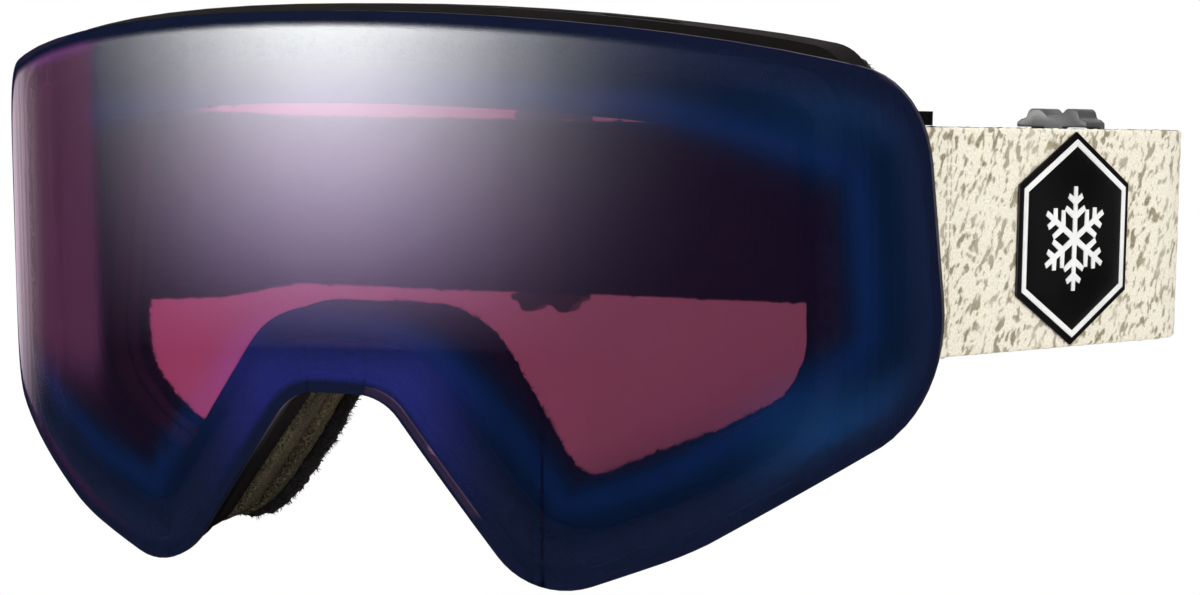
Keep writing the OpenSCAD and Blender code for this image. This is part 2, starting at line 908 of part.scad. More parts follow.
module hinge_pin_left() {
    color([0.60, 0.61, 0.62])
        strap_plane()
            translate(hinge_xy)
                cylinder(r = pin_r, h = 2*(lug_z + lug_h), center = true, $fn = 32);
}

module hinge_pin_right() {
    mirror([1, 0, 0])
        hinge_pin_left();
}

outer_lens();
inner_lens();
lens_spacer_foam();
lens_carrier();
frame();
vent_foam_top();
vent_foam_bottom();
foam_base();
face_foam();
fleece_lining();
outrigger_left();
outrigger_right();
hinge_pin_left();
hinge_pin_right();
strap_fold_left();
strap_fold_right();
strap_left();
strap_right();
strap_rear();
strap_tail_left();
strap_tail_right();
slider_left();
slider_right();
patch();
patch_line();
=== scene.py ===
"""Looks of the snow goggles: mirrored double lens, rubber frame, face foam, knitted strap, sliders.

Everything is in metres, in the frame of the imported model. The strap is modelled again here as
soft webbing, so the sizes of its route repeat those of the part's source."""

import bisect
import itertools
import math
import random

import bmesh
import bpy
from bpy.props import FloatProperty, FloatVectorProperty, PointerProperty
from mathutils import Matrix, Vector, kdtree, noise


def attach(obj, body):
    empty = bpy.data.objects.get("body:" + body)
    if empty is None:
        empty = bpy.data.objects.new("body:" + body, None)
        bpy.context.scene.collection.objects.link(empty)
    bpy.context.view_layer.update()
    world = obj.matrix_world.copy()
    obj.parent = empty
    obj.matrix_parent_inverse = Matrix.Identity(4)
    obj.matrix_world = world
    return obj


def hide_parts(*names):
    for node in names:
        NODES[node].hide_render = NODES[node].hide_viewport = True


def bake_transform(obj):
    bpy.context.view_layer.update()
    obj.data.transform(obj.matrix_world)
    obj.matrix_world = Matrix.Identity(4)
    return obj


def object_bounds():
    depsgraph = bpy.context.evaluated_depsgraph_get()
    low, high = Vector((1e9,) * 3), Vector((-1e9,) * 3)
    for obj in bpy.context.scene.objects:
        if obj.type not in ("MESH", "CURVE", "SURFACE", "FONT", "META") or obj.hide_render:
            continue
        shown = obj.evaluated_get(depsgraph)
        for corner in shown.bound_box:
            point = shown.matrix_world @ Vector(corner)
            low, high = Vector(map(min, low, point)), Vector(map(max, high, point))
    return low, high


bl_info = {
    "name": "Snow Goggles",
    "version": (1, 0, 0),
    "blender": (4, 5, 0),
    "location": "View3D > Sidebar > Goggles",
    "description": "Models and dresses the soft pieces and finishes of a pair of snow goggles",
    "category": "Object",
}

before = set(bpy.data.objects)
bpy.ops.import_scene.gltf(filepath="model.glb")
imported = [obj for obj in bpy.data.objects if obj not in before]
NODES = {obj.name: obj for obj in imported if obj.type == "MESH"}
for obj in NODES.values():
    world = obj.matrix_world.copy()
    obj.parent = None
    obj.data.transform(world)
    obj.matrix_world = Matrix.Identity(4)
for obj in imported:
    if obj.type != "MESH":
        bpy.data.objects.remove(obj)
CAD_BOX = [list(corner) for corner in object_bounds()]
MM = 0.001

# The camera, in the part's frame
CAMERA_AT = Vector((152.37, -375.43, 47.61))*MM
CAMERA_RIGHT = Vector((0.9521, 0.3059, 0.0))
CAMERA_BACK = Vector((0.3034, -0.9443, 0.1281))
FOCAL_PIXELS = 2265.7
IMAGE_WIDTH = 1200
SENSOR = 36.0

# The outer lens is part of a cylinder round an upright axis behind it
LENS_AXIS_Y = 65*MM
LENS_R = 107*MM
LENS_MIDDLE_R = 106.3*MM

# The strap's route, seen from above on the strap's own leaning plane
BAR = Vector((85.223, 10.168))*MM
STRAP_Z = 6.9*MM
DROOP = math.radians(3)
LEAVES_AT = math.radians(59)
TEMPLE_R = 18*MM
CORNER_R = 43*MM
LOOP_HALF = 123.4*MM
BAR_R = 1.1*MM
BAR_ROOM = 0.15*MM
LAYER = 0.85*MM
OPEN_LEN = 10*MM
SLIDER_LEFT_AT = math.radians(66)
SLIDER_RIGHT_X = -19*MM
RUN = (LOOP_HALF - TEMPLE_R + TEMPLE_R*math.sin(LEAVES_AT) - BAR.x)/math.cos(LEAVES_AT)
TEMPLE = Vector((LOOP_HALF - TEMPLE_R,
                 BAR.y + RUN*math.sin(LEAVES_AT) + TEMPLE_R*math.cos(LEAVES_AT)))
CORNER = Vector((LOOP_HALF - CORNER_R, TEMPLE.y))
BACK_Y = CORNER.y + CORNER_R
TEMPLE_LEN = TEMPLE_R*(math.pi/2 - LEAVES_AT)
HALF = RUN + TEMPLE_LEN + CORNER_R*math.pi/2
SLIDER_LEFT_S = RUN + TEMPLE_LEN + CORNER_R*SLIDER_LEFT_AT
SLIDER_RIGHT_S = HALF + CORNER.x + SLIDER_RIGHT_X
PATCH_AT = 42*MM
PATCH_TOP = 0.75*MM + 0.45*MM


# ---- settings ---------------------------------------------------------------

def colour(name, text, value):
    return FloatVectorProperty(name=name, description=text, default=value, size=3, min=0, max=1,
                               subtype="COLOR")


def number(name, text, value, **more):
    return FloatProperty(name=name, description=text, default=value, min=0, **more)


def length(name, text, value):
    return number(name, text, value, unit="LENGTH")


class GOGGLES_PG_lens(bpy.types.PropertyGroup):
    """Finish of the two lenses"""
    outer: colour("Outer tint", "What the outer lens lets through", (0.66, 0.36, 0.46))
    inner: colour("Inner tint", "What the rose inner lens lets through", (0.54, 0.17, 0.29))
    inner_deep: colour("Inner tint, deep", "The rose lens's darker colour towards the wearer's left",
                       (0.29, 0.135, 0.165))
    # painted highlight: the brighter line of the coat along the lens's edge
    rim: colour("Mirror, painted rim highlight", "Painted highlight along the lens's edge", (0.040, 0.085, 0.27))
    navy: colour("Mirror, border", "Mirror coat over the outer border", (0.006, 0.055, 0.20))
    # painted reflection: a streak of the coat's reflection in the border's inner band
    teal: colour("Mirror, painted reflection band", "Painted streak of reflection over the border's inner band", (0.012, 0.085, 0.42))
    violet: colour("Mirror, middle", "Mirror coat over the middle", (0.035, 0.022, 0.085))
    bridge: colour("Mirror, nose", "Mirror coat over the nose", (0.10, 0.13, 0.98))
    # painted reflection: the brighter streak in the corners on the wearer's left
    petrol: colour("Mirror, painted reflection corners", "Painted reflection in the corners on the wearer's left",
                   (0.04, 0.25, 0.85))
    # painted reflection: the pale studio reflected over the side on the wearer's right
    mauve: colour("Mirror, painted side reflection", "Painted studio reflection over the side on the wearer's right",
                  (0.175, 0.052, 0.135))
    # painted reflection: the pale rim at the edge on the wearer's right
    plum: colour("Mirror, painted right rim reflection", "Painted rim reflection at the edge on the wearer's right",
                 (0.30, 0.08, 0.36))
    film: number("Mirror share", "How much the mirror coat covers", 0.11, max=1)
    print_colour: colour("Edge print", "Opaque print round the lens's edge",
                         (0.006, 0.009, 0.027))
    print_w: length("Edge print's width", "How far the print reaches inwards", 2.1*MM)
    film_gap: length("Mirror gap", "How far the coat stands off the lens", 0.05*MM)


class GOGGLES_PG_frame(bpy.types.PropertyGroup):
    """Finish of the frame, the carrier and the outriggers"""
    rubber: colour("Frame", "Soft black frame", (0.0085, 0.0078, 0.0068))
    plastic: colour("Carrier", "Hard black carrier and outriggers", (0.0015, 0.0015, 0.0018))
    steel: colour("Pins", "Steel of the hinge pins", (0.56, 0.57, 0.58))


class GOGGLES_PG_foam(bpy.types.PropertyGroup):
    """Shape and finish of the soft pieces against the face"""
    base: colour("Base foam", "Firm foam next to the frame", (0.050, 0.042, 0.024))
    soft: colour("Soft foam", "Soft foam under the fleece", (0.066, 0.054, 0.031))
    fleece: colour("Fleece", "Fleece against the face", (0.0046, 0.0034, 0.0023))
    vent: colour("Vent foam", "Open foam behind the vents", (0.030, 0.030, 0.032))
    voxel: length("Mesh step", "Size of the mesh steps of the foam", 0.9*MM)
    pile: length("Pile", "Unevenness of the fleece", 0.45*MM)
    fibre: length("Fibres", "Length of the fleece's fibres", 1.1*MM)


class GOGGLES_PG_strap(bpy.types.PropertyGroup):
    """Shape and finish of the strap"""
    width: length("Width", "Width of the webbing", 40*MM)
    thickness: length("Thickness", "Thickness of one layer", 1.5*MM)
    cream: colour("Yarn", "Pale yarn", (0.78, 0.71, 0.53))
    pale: colour("Pale yarn", "Lightest yarn", (0.90, 0.86, 0.76))
    fleck: colour("Flecks", "Dark flecks of the yarn", (0.19, 0.14, 0.058))
    back: colour("Back", "Dark elastic on the head side", (0.0045, 0.004, 0.005))
    thread: colour("Thread", "Sewing thread", (0.62, 0.57, 0.46))


class GOGGLES_PG_trim(bpy.types.PropertyGroup):
    """Finish of the sliders and the patch"""
    slider: colour("Sliders", "Grey moulded sliders", (0.088, 0.09, 0.088))
    slider_edge: length("Slider edge", "Rounding of the sliders' edges", 0.35*MM)
    patch: colour("Patch", "Black rubber patch", (0.0035, 0.003, 0.003))
    line: colour("Line", "Pale line of the patch", (0.82, 0.82, 0.80))


class GOGGLES_PG_stage(bpy.types.PropertyGroup):
    """Floor, backdrop and lamps"""
    world: number("World", "Light from all round", 0.47)
    key: number("Key", "Power of the key lamp", 6.6)
    fill: number("Fill", "Power of the fill lamp", 3.2)
    card: number("Card", "Strength of the card that the lens shows", 29.0)


GROUPS = {kind.__name__.replace("GOGGLES_PG", "goggles"): kind for kind in (
    GOGGLES_PG_lens, GOGGLES_PG_frame, GOGGLES_PG_foam, GOGGLES_PG_strap, GOGGLES_PG_trim,
    GOGGLES_PG_stage)}


# ---- nodes and materials ----------------------------------------------------

class Graph:
    """A node tree with short ways to fill it. An input takes a value or the socket that feeds it,
    and a colour has three values."""

    def __init__(self, tree):
        self.tree = tree

    def feed(self, node, inputs):
        for name, value in inputs.items():
            if isinstance(value, bpy.types.NodeSocket):
                self.tree.links.new(value, node.inputs[name])
            else:
                node.inputs[name].default_value = value
        return node

    def add(self, kind, inputs=None, **settings):
        made = self.tree.nodes.new("ShaderNode" + kind)
        for name, value in settings.items():
            setattr(made, name, value)
        return self.feed(made, inputs or {})

    def maths(self, operation, a, b=0.0):
        return self.add("Math", {0: a, 1: b}, operation=operation).outputs[0]

    def product(self, value, *others):
        for other in others:
            value = self.maths("MULTIPLY", value, other)
        return value

    def vectors(self, operation, inputs, output=0):
        return self.add("VectorMath", inputs, operation=operation).outputs[output]

    def axes(self, place):
        return self.add("SeparateXYZ", {"Vector": place}).outputs

    def ramp(self, value, low, high, to_low=0.0, to_high=1.0, kind="SMOOTHSTEP"):
        """The value between low and high, spread over to_low and to_high."""
        inputs = {"Value": value, "From Min": low, "From Max": high, "To Min": to_low,
                  "To Max": to_high}
        return self.add("MapRange", inputs, interpolation_type=kind).outputs["Result"]

    def mixed(self, factor, a, b):
        a, b = (c if isinstance(c, bpy.types.NodeSocket) else (*c, 1.0) for c in (a, b))
        return self.add("Mix", {0: factor, 6: a, 7: b}, data_type="RGBA").outputs[2]

    def clouds(self, place, scale, detail=2.0, roughness=0.5, output="Fac"):
        return self.add("TexNoise", {"Vector": place, "Scale": scale, "Detail": detail,
                                     "Roughness": roughness}).outputs[output]

    def waves(self, place, direction, scale, distortion, detail_scale=1.0):
        return self.add("TexWave", {"Vector": place, "Scale": scale, "Distortion": distortion,
                                    "Detail": 1.0, "Detail Scale": detail_scale},
                        bands_direction=direction).outputs["Fac"]

    def bump(self, height, distance, strength):
        return self.add("Bump", {"Height": height, "Strength": strength,
                                 "Distance": distance}).outputs["Normal"]


def shared_group(name, outputs, **inputs):
    """Turns a function that fills a group into one that adds the group to a graph at a place and
    returns its outputs. The group is made once, with a Vector and these inputs."""
    def turn(fill):
        def add_group(graph, place, **fed):
            group = bpy.data.node_groups.get(name)
            if not group:
                group = bpy.data.node_groups.new(name, "ShaderNodeTree")
                new_socket = group.interface.new_socket
                new_socket("Vector", in_out="INPUT", socket_type="NodeSocketVector")
                for socket, value in inputs.items():
                    new_socket(socket, in_out="INPUT",
                               socket_type="NodeSocketFloat").default_value = value
                for socket in outputs:
                    new_socket(socket, in_out="OUTPUT", socket_type="NodeSocketFloat")
                inner = Graph(group)
                results = fill(inner, group.nodes.new("NodeGroupInput").outputs)
                inner.feed(group.nodes.new("NodeGroupOutput"), dict(zip(outputs, results)))
            return graph.add("Group", {"Vector": place, **fed}, node_tree=group).outputs
        return add_group
    return turn


@shared_group("Grain", ("Height", "Blotch"), Scale=900.0)
def grain(g, start):
    """Fine moulded grain with slow blotches over it."""
    return (g.clouds(start["Vector"], start["Scale"], 3.0, 0.6),
            g.ramp(g.clouds(start["Vector"], 55.0, 4.0, 0.55), 0.35, 0.68))


@shared_group("Specks", ("Mask",), Scale=260.0, Rarity=0.76)
def specks(g, start):
    """A few specks and light marks."""
    cells = g.add("TexVoronoi", {"Vector": start["Vector"], "Scale": start["Scale"]}).outputs
    near = g.ramp(cells["Distance"], 0.16, 0.05)
    picked = g.ramp(cells["Color"], start["Rarity"], 0.99)
    where = g.ramp(g.clouds(start["Vector"], 38.0), 0.45, 0.62)
    return (g.product(near, picked, where),)


@shared_group("Foam cells", ("Pore shade", "Height"), Scale=1500.0)
def foam_cells(g, start):
    """Open foam cells: sunken pores with paler walls between them; the pores' mask paints shade
    into them.
    """
    coarse = g.add("TexVoronoi", {"Vector": start["Vector"], "Scale": start["Scale"],
                                  "Smoothness": 0.4}, feature="SMOOTH_F1")
    fine = g.clouds(start["Vector"], g.product(start["Scale"], 1.7))
    pores = g.ramp(coarse.outputs["Distance"], 0.42, 0.12)
    return pores, g.maths("SUBTRACT", g.product(fine, 0.5), pores)


@shared_group("Knit", ("Flecks", "Pale", "Height"))
def knit(g, start):
    """Slubby knit along the piece's own map: leaning flecks, paler loops and fine ribs."""
    place = start["Vector"]
    shift = g.vectors("SCALE", {0: g.clouds(place, 340.0, output="Color"), "Scale": 0.9*MM})
    moved = g.vectors("ADD", {0: place, 1: shift})
    turned = g.add("Mapping", {"Vector": moved, "Rotation": (0.0, 0.0, math.radians(-62))})
    slubs = g.add("Mapping", {"Vector": turned.outputs[0], "Scale": (500.0, 820.0, 1.0)})
    large, small = (g.clouds(slubs.outputs[0], scale, 1.5) for scale in (0.62, 1.0))
    flecks = g.maths("MAXIMUM", g.ramp(large, 0.53, 0.64), g.ramp(small, 0.56, 0.68, 0.0, 0.85))
    fine = g.clouds(place, 2600.0)
    ribs = g.waves(place, "Y", 210.0, 2.2, 1.4)
    height = g.maths("ADD", g.product(ribs, 0.2),
                     g.maths("SUBTRACT", g.product(fine, 0.4), g.product(flecks, 0.9)))
    return (g.product(flecks, g.ramp(fine, 0.3, 0.7, 0.7, 1.0)), g.ramp(fine, 0.35, 0.65),
            height)


class Finish(Graph):
    """A material's graph, with its Principled shader and its Object coordinates."""

    def __init__(self, name, **sockets):
        self.material = bpy.data.materials.new(name)
        self.material.use_nodes = True
        super().__init__(self.material.node_tree)
        self.shader = self.tree.nodes["Principled BSDF"]
        self.place = self.add("TexCoord").outputs["Object"]
        self.done(**sockets)

    def done(self, **sockets):
        """Feeds the shader's inputs and returns the material."""
        self.feed(self.shader, {name.replace("_", " "): value for name, value in sockets.items()})
        return self.material

    def shows(self, surface):
        """Puts another shader in the Principled one's place and returns the material."""
        self.feed(self.tree.nodes["Material Output"], {"Surface": surface.outputs[0]})
        return self.material


def scaled(base, times, plus=0.0):
    return tuple(min(1.0, c*times + plus) for c in base)


SPECK_TONE = (0.35, 0.35, 0.35)


def moulded(name, base, roughness, scale, depth, worn, shine=0.5):
    """Moulded rubber or plastic: grain, blotches in its shine, and specks."""
    g = Finish(name, Specular_IOR_Level=shine)
    skin = grain(g, g.place, Scale=scale)
    marks = specks(g, g.place)["Mask"]
    body = g.mixed(g.product(skin["Blotch"], 0.5), base, scaled(base, 1.5, 0.003))
    return g.done(
        Base_Color=g.mixed(g.product(marks, worn), body, SPECK_TONE),
        Roughness=g.ramp(skin["Blotch"], 0.0, 1.0, roughness - 0.05, roughness + 0.09),
        Normal=g.bump(skin["Height"], depth, 0.5))


def foam(name, base, scale, depth):
    """Open foam: salt and pepper of cell walls and pores, the pores darkened as painted shade, and
    slow changes of tone.
    """
    g = Finish(name, Roughness=0.95, Specular_IOR_Level=0.2)
    cells = foam_cells(g, g.place, Scale=scale)
    skin = grain(g, g.place, Scale=scale*1.2)
    paler = scaled(base, 4.0, 0.002)
    body = g.mixed(g.product(skin["Blotch"], 0.35), base, paler)
    body = g.mixed(g.product(g.ramp(skin["Height"], 0.47, 0.66), 0.8), body, paler)
    # painted shade: the sunken pores are darkened
    return g.done(Base_Color=g.mixed(cells["Pore shade"], body, scaled(base, 0.3)),
                  Normal=g.bump(cells["Height"], depth, 0.8))


def fleece_cloth(name, base):
    """Short pile: fine fibres that catch the light."""
    g = Finish(name, Roughness=1.0, Sheen_Weight=0.15, Sheen_Roughness=0.45,
               Sheen_Tint=(0.75, 0.68, 0.55, 1.0))
    hairs = g.clouds(g.place, 2600.0, 3.0, 0.7)
    tufts = g.clouds(g.place, 620.0)
    tone = g.product(g.ramp(hairs, 0.42, 0.72), g.ramp(tufts, 0.3, 0.7))
    return g.done(Base_Color=g.mixed(tone, base, scaled(base, 4.5, 0.01)),
                  Normal=g.bump(g.maths("ADD", hairs, tufts), 0.35*MM, 0.9))


def knit_cloth(name, look):
    """The strap's outer face."""
    g = Finish(name, Roughness=0.9, Sheen_Weight=0.15, Sheen_Roughness=0.6)
    where = g.add("UVMap", uv_map="Along").outputs["UV"]
    cloth = knit(g, where)
    body = g.mixed(cloth["Pale"], look.cream, look.pale)
    drift = g.ramp(g.clouds(where, 95.0), 0.25, 0.60, 0.5, 1.0)
    return g.done(Base_Color=g.mixed(g.product(cloth["Flecks"], drift), body, look.fleck),
                  Normal=g.bump(cloth["Height"], 0.20*MM, 0.55))


def elastic_back(name, base):
    """The strap's head side: fine dark ribs along the strap."""
    g = Finish(name, Roughness=0.85, Sheen_Weight=0.1)
    where = g.add("UVMap", uv_map="Along").outputs["UV"]
    tone = g.product(g.waves(where, "Y", 190.0, 0.6), g.waves(where, "X", 260.0, 0.8))
    return g.done(Base_Color=g.mixed(tone, base, scaled(base, 2.6, 0.004)),
                  Normal=g.bump(tone, 0.15*MM, 0.6))


def lens_glass(name, tint, ior, roughness, deep=None):
    """Clear tinted sheet with a few specks on it. With a second colour given, it turns darker
    towards the wearer's left.
    """
    g = Finish(name, Base_Color=(*tint, 1.0), IOR=ior, Transmission_Weight=1.0)
    marks = specks(g, g.place, Scale=330.0, Rarity=0.9)["Mask"]
    if deep is not None:
        across = g.ramp(g.axes(g.place)["X"], -30*MM, 40*MM, kind="LINEAR")
        g.done(Base_Color=g.mixed(across, tint, deep))
    return g.done(Roughness=g.ramp(marks, 0.0, 1.0, roughness, 0.35))


# The coat's colours at shares of this way in from the lens's edge, and its densest cover
EDGE_REACH = 26*MM
# The rim steps paint a highlight along the lens's edge, the teal steps a streak of reflection.
EDGE_STEPS = ((0.0, "rim"), (0.09, "rim"), (0.20, "navy"), (0.34, "navy"), (0.46, "teal"),
              (0.56, "teal"), (0.66, "navy"), (0.80, "violet"), (1.0, "violet"))
# cover of the painted side reflection
SIDE_REFLECTION_COVER = 0.40


def mirror_film(name, look):
    """Thin coat whose colour changes from the lens's edge inwards and drifts a little over the
    lens; its brighter rim is a painted highlight and its teal band a painted streak of reflection.
    Places on the lens pick the colours of its nose, corners and side; those of the corners, of the
    side and of the rim on the wearer's right are painted reflection."""
    g = Finish(name, Roughness=0.5, Specular_IOR_Level=0.0)
    drift = g.clouds(g.place, 16.0, 1.0, 0.4)
    edge = g.add("Attribute", attribute_name="Edge").outputs["Fac"]
    axes = g.axes(g.place)
    x, z = axes["X"], axes["Z"]
    moved = g.product(g.maths("ADD", edge, g.ramp(drift, 0.3, 0.7, -1.5*MM, 1.5*MM)),
                      g.ramp(x, 45*MM, 82*MM, 1.0, 0.74))
    steps = g.add("ValToRGB", {"Fac": g.ramp(moved, 0.0, EDGE_REACH)})
    steps.color_ramp.interpolation = "B_SPLINE"
    elements = steps.color_ramp.elements
    while len(elements) < len(EDGE_STEPS):
        elements.new(0.5)
    for element, (reach, tone) in zip(elements, EDGE_STEPS):
        element.position = reach
        element.color = (*getattr(look, tone), 1.0)
    body = steps.outputs["Color"]
    nose = g.product(g.ramp(z, -2*MM, -14*MM),
                     g.ramp(g.maths("ABSOLUTE", x), 28*MM, 10*MM))
    body = g.mixed(g.product(nose, g.ramp(edge, 19*MM, 10*MM)), body, look.bridge)
    # painted reflection: the brighter streak in the border's band, in the corners on the wearer's
    # left
    high = g.product(g.ramp(z, 20*MM, 31*MM), g.ramp(z, 46*MM, 36*MM))
    corner = g.product(g.maths("ADD", g.ramp(z, -10*MM, -24*MM), g.product(high, 0.4)),
                       g.ramp(x, 60*MM, 76*MM))
    band = g.product(g.ramp(edge, 3*MM, 7*MM), g.ramp(edge, 20*MM, 13*MM))
    body = g.mixed(g.product(corner, band, 0.8), body, look.petrol)
    # painted reflection: the pale studio over the side on the wearer's right
    side = g.product(g.ramp(x, -46.5*MM, -53.5*MM), g.ramp(z, -27*MM, -9*MM))
    body = g.mixed(side, body, look.mauve)
    # painted reflection: the pale rim at the edge on the wearer's right
    rim = g.product(g.ramp(x, -38*MM, -62*MM), g.ramp(edge, 4.5*MM, 2.0*MM))
    body = g.mixed(rim, body, look.plum)
    shade = g.ramp(drift, 0.3, 0.7, 0.8, 1.2)
    body = g.vectors("SCALE", {0: body, "Scale": shade})
    print_edge = g.ramp(edge, look.print_w + 0.8*MM, look.print_w - 0.8*MM)
    print_cover = g.product(print_edge, 0.97)
    # painted reflection: the side's reflection covers more of the lens towards the wearer's right
    solid = g.product(side, g.ramp(x, -81*MM, -64*MM))
    film = g.ramp(solid, 0.0, 1.0, look.film, SIDE_REFLECTION_COVER)
    cover = g.maths("ADD", print_cover, g.product(g.maths("SUBTRACT", 1.0, print_edge), film))
    share = g.maths("DIVIDE", print_cover, cover)
    return g.done(Base_Color=g.mixed(share, body, look.print_colour), Alpha=cover)


def steel(name, base):
    """Drawn steel: fine lines round the pin."""
    g = Finish(name, Metallic=1.0)
    turned = g.add("Mapping", {"Vector": g.place, "Scale": (1.0, 1.0, 12.0)})
    lines = g.clouds(turned.outputs[0], 800.0)
    return g.done(Base_Color=g.mixed(lines, base, scaled(base, 0.75)),
                  Roughness=g.ramp(lines, 0.3, 0.7, 0.22, 0.4))


# ---- meshes -----------------------------------------------------------------

def clamped(value):
    return min(1.0, max(0.0, value))


def eased(value):
    value = clamped(value)
    return value*value*(3 - 2*value)


def select_only(*pieces):
    """Object mode with only these pieces selected, the first one active."""
    if bpy.context.object and bpy.context.object.mode != "OBJECT":
        bpy.ops.object.mode_set(mode="OBJECT")
    bpy.ops.object.select_all(action="DESELECT")
    for piece in pieces:
        piece.select_set(True)
    bpy.context.view_layer.objects.active = pieces[0] if pieces else None


def edit(piece, *steps):
    """Runs mesh operators, each with its settings, on the whole piece."""
    select_only(piece)
    bpy.ops.object.mode_set(mode="EDIT")
    for operator, settings in steps:
        bpy.ops.mesh.select_all(action="SELECT")
        operator(**settings)
    bpy.ops.object.mode_set(mode="OBJECT")


def linked(name, data):
    """A new object in the scene."""
    made = bpy.data.objects.new(name, data)
    bpy.context.scene.collection.objects.link(made)
    return made


def piece_of_points(name, points, polygons):
    data = bpy.data.meshes.new(name)
    data.from_pydata([tuple(p) for p in points], [], polygons)
    return linked(name, data)


def solid_of_points(name, points, polygons):
    piece = piece_of_points(name, points, polygons)
    edit(piece, (bpy.ops.mesh.normals_make_consistent, {"inside": False}))
    return piece


def piece_of_faces(name, mesh):
    """A closed piece from a bmesh, which is freed."""
    bmesh.ops.recalc_face_normals(mesh, faces=mesh.faces)
    data = bpy.data.meshes.new(name)
    mesh.to_mesh(data)
    mesh.free()
    return linked(name, data)


def dress(piece, *materials):
    piece.data.materials.clear()
    for material in materials:
        piece.data.materials.append(material)


def finish_piece(piece, material, body, slot, *nodes):
    """Dresses a piece in the material, lets it ride on its body and hides the nodes it stands for.
    Its slot is not used.
    """
    dress(piece, material)
    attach(piece, body)
    if nodes:
        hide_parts(*nodes)


def copy_of(node, name):
    """A merged copy of a CAD node's mesh as a new piece."""
    made = linked(name, NODES[node].data.copy())
    edit(made, (bpy.ops.mesh.remove_doubles, {"threshold": 0.002*MM}),
         (bpy.ops.mesh.tris_convert_to_quads, {}))
    return made


def apply_modifier(piece, kind, **settings):
    select_only(piece)
    made = piece.modifiers.new(kind.title(), kind)
    for name, value in settings.items():
        setattr(made, name, value)
    bpy.ops.object.modifier_apply(modifier=made.name)


def rounded_copy(node, name, width, flat, sharp):
    """A copy of a CAD node with its edges rounded: flat is the angle under which its facets are
    joined, sharp the one over which its edges are rounded, both in degrees."""
    piece = copy_of(node, name)
    edit(piece, (bpy.ops.mesh.dissolve_limited, {"angle_limit": math.radians(flat)}))
    apply_modifier(piece, "BEVEL", width=width, segments=3, limit_method="ANGLE",
                   angle_limit=math.radians(sharp))
    select_only(piece)
    bpy.ops.object.shade_smooth_by_angle(angle=math.radians(35))
    return piece


def smooth_all(piece):
    select_only(piece)
    bpy.ops.object.shade_smooth()


def push_out(piece, amount):
    """Moves every point along its normal by the amount for its place."""
    normals = [v.normal.copy() for v in piece.data.vertices]
    for vertex, normal in zip(piece.data.vertices, normals):
        vertex.co += normal*amount(vertex.co)


def soft_body(node, name, voxel, rounding, size, height):
    """A foam piece grown from its CAD solid: even mesh, rounded edges and an uneven skin."""
    piece = copy_of(node, name)
    apply_modifier(piece, "REMESH", mode="VOXEL", voxel_size=voxel)
    apply_modifier(piece, "SMOOTH", factor=0.5, iterations=rounding)
    push_out(piece, lambda co: noise.fractal(co/size, 0.8, 2.0, 3)*height)
    smooth_all(piece)
    return piece


# Round the nose the soft pieces swell: half its width, its top, and how far each fades
NOSE_HALF, NOSE_FADE = 44*MM, 20*MM
NOSE_TOP, NOSE_DEPTH = 4*MM, 18*MM
SINK_FROM, SINK_DEPTH = -14*MM, 14*MM


def settle(piece, back, inwards):
    """Lets a soft piece swell back and inwards round the nose, where nothing presses it, and sink
    a little at its low end."""
    for vertex in piece.data.vertices:
        wide = clamped((NOSE_HALF - abs(vertex.co.x))/NOSE_FADE)
        low = clamped((NOSE_TOP - vertex.co.z)/NOSE_DEPTH)
        vertex.co.y += back*wide*low
        vertex.co.z -= back*0.7*wide*clamped((SINK_FROM - vertex.co.z)/SINK_DEPTH)
        side = min(1.0, abs(vertex.co.x)/(8*MM))
        vertex.co.x -= math.copysign(inwards*wide*low*side, vertex.co.x)


def mark_edge(piece):
    """Stores how far each point of the mirror coat lies from the coat's outline."""
    mesh = bmesh.new()
    mesh.from_mesh(piece.data)

    def unrolled(co):
        return Vector((LENS_R*math.atan2(co.x, LENS_AXIS_Y - co.y), co.z, 0.0))

    outline = []
    for edge in mesh.edges:
        if edge.is_boundary:
            a, b = (unrolled(v.co) for v in edge.verts)
            count = max(1, round((b - a).length/(0.5*MM)))
            outline += [a.lerp(b, i/count) for i in range(count)]
    tree = kdtree.KDTree(len(outline))
    for i, point in enumerate(outline):
        tree.insert(point, i)
    tree.balance()
    far = [tree.find(unrolled(v.co))[2] for v in mesh.verts]
    mesh.free()
    stored = piece.data.attributes.new("Edge", "FLOAT", "POINT")
    stored.data.foreach_set("value", far)


# No fibre stands up over this height, where it would show above the frame
BROW_Z = 28*MM


def fibres(source, name, count, tall, wide, seed):
    """Short bent fibres that stand on a soft piece's skin, each a thin strip of two faces."""
    dice = random.Random(seed)
    mesh = source.data
    mesh.calc_loop_triangles()
    triangles = mesh.loop_triangles
    areas = list(itertools.accumulate(t.area for t in triangles))
    points, polygons = [], []
    for _ in range(count):
        triangle = triangles[bisect.bisect_left(areas, dice.uniform(0, areas[-1]))]
        a, b, c = (mesh.vertices[i].co for i in triangle.vertices)
        u, v = dice.random(), dice.random()
        if u + v > 1:
            u, v = 1 - u, 1 - v
        root = a + (b - a)*u + (c - a)*v
        lean = Vector([dice.gauss(0, 0.55) for _ in range(3)])
        up = (triangle.normal + lean).normalized()
        if root.z > BROW_Z and up.z > 0.2:
            continue
        curl = Vector([dice.gauss(0, 0.35) for _ in range(3)])
        side = up.cross(Vector([dice.gauss(0, 1) for _ in range(3)])).normalized()*wide/2
        reach = tall*dice.uniform(0.45, 1.0)
        middle = root + up*reach*0.55
        tip = middle + (up + curl)*reach*0.45
        start = len(points)
        root = root - up*0.1*MM
        points += [root - side, root + side, middle + side*0.7, middle - side*0.7, tip]
        polygons += [(start, start + 1, start + 2, start + 3), (start + 3, start + 2, start + 4)]
    return piece_of_points(name, points, polygons)


# ---- the strap --------------------------------------------------------------

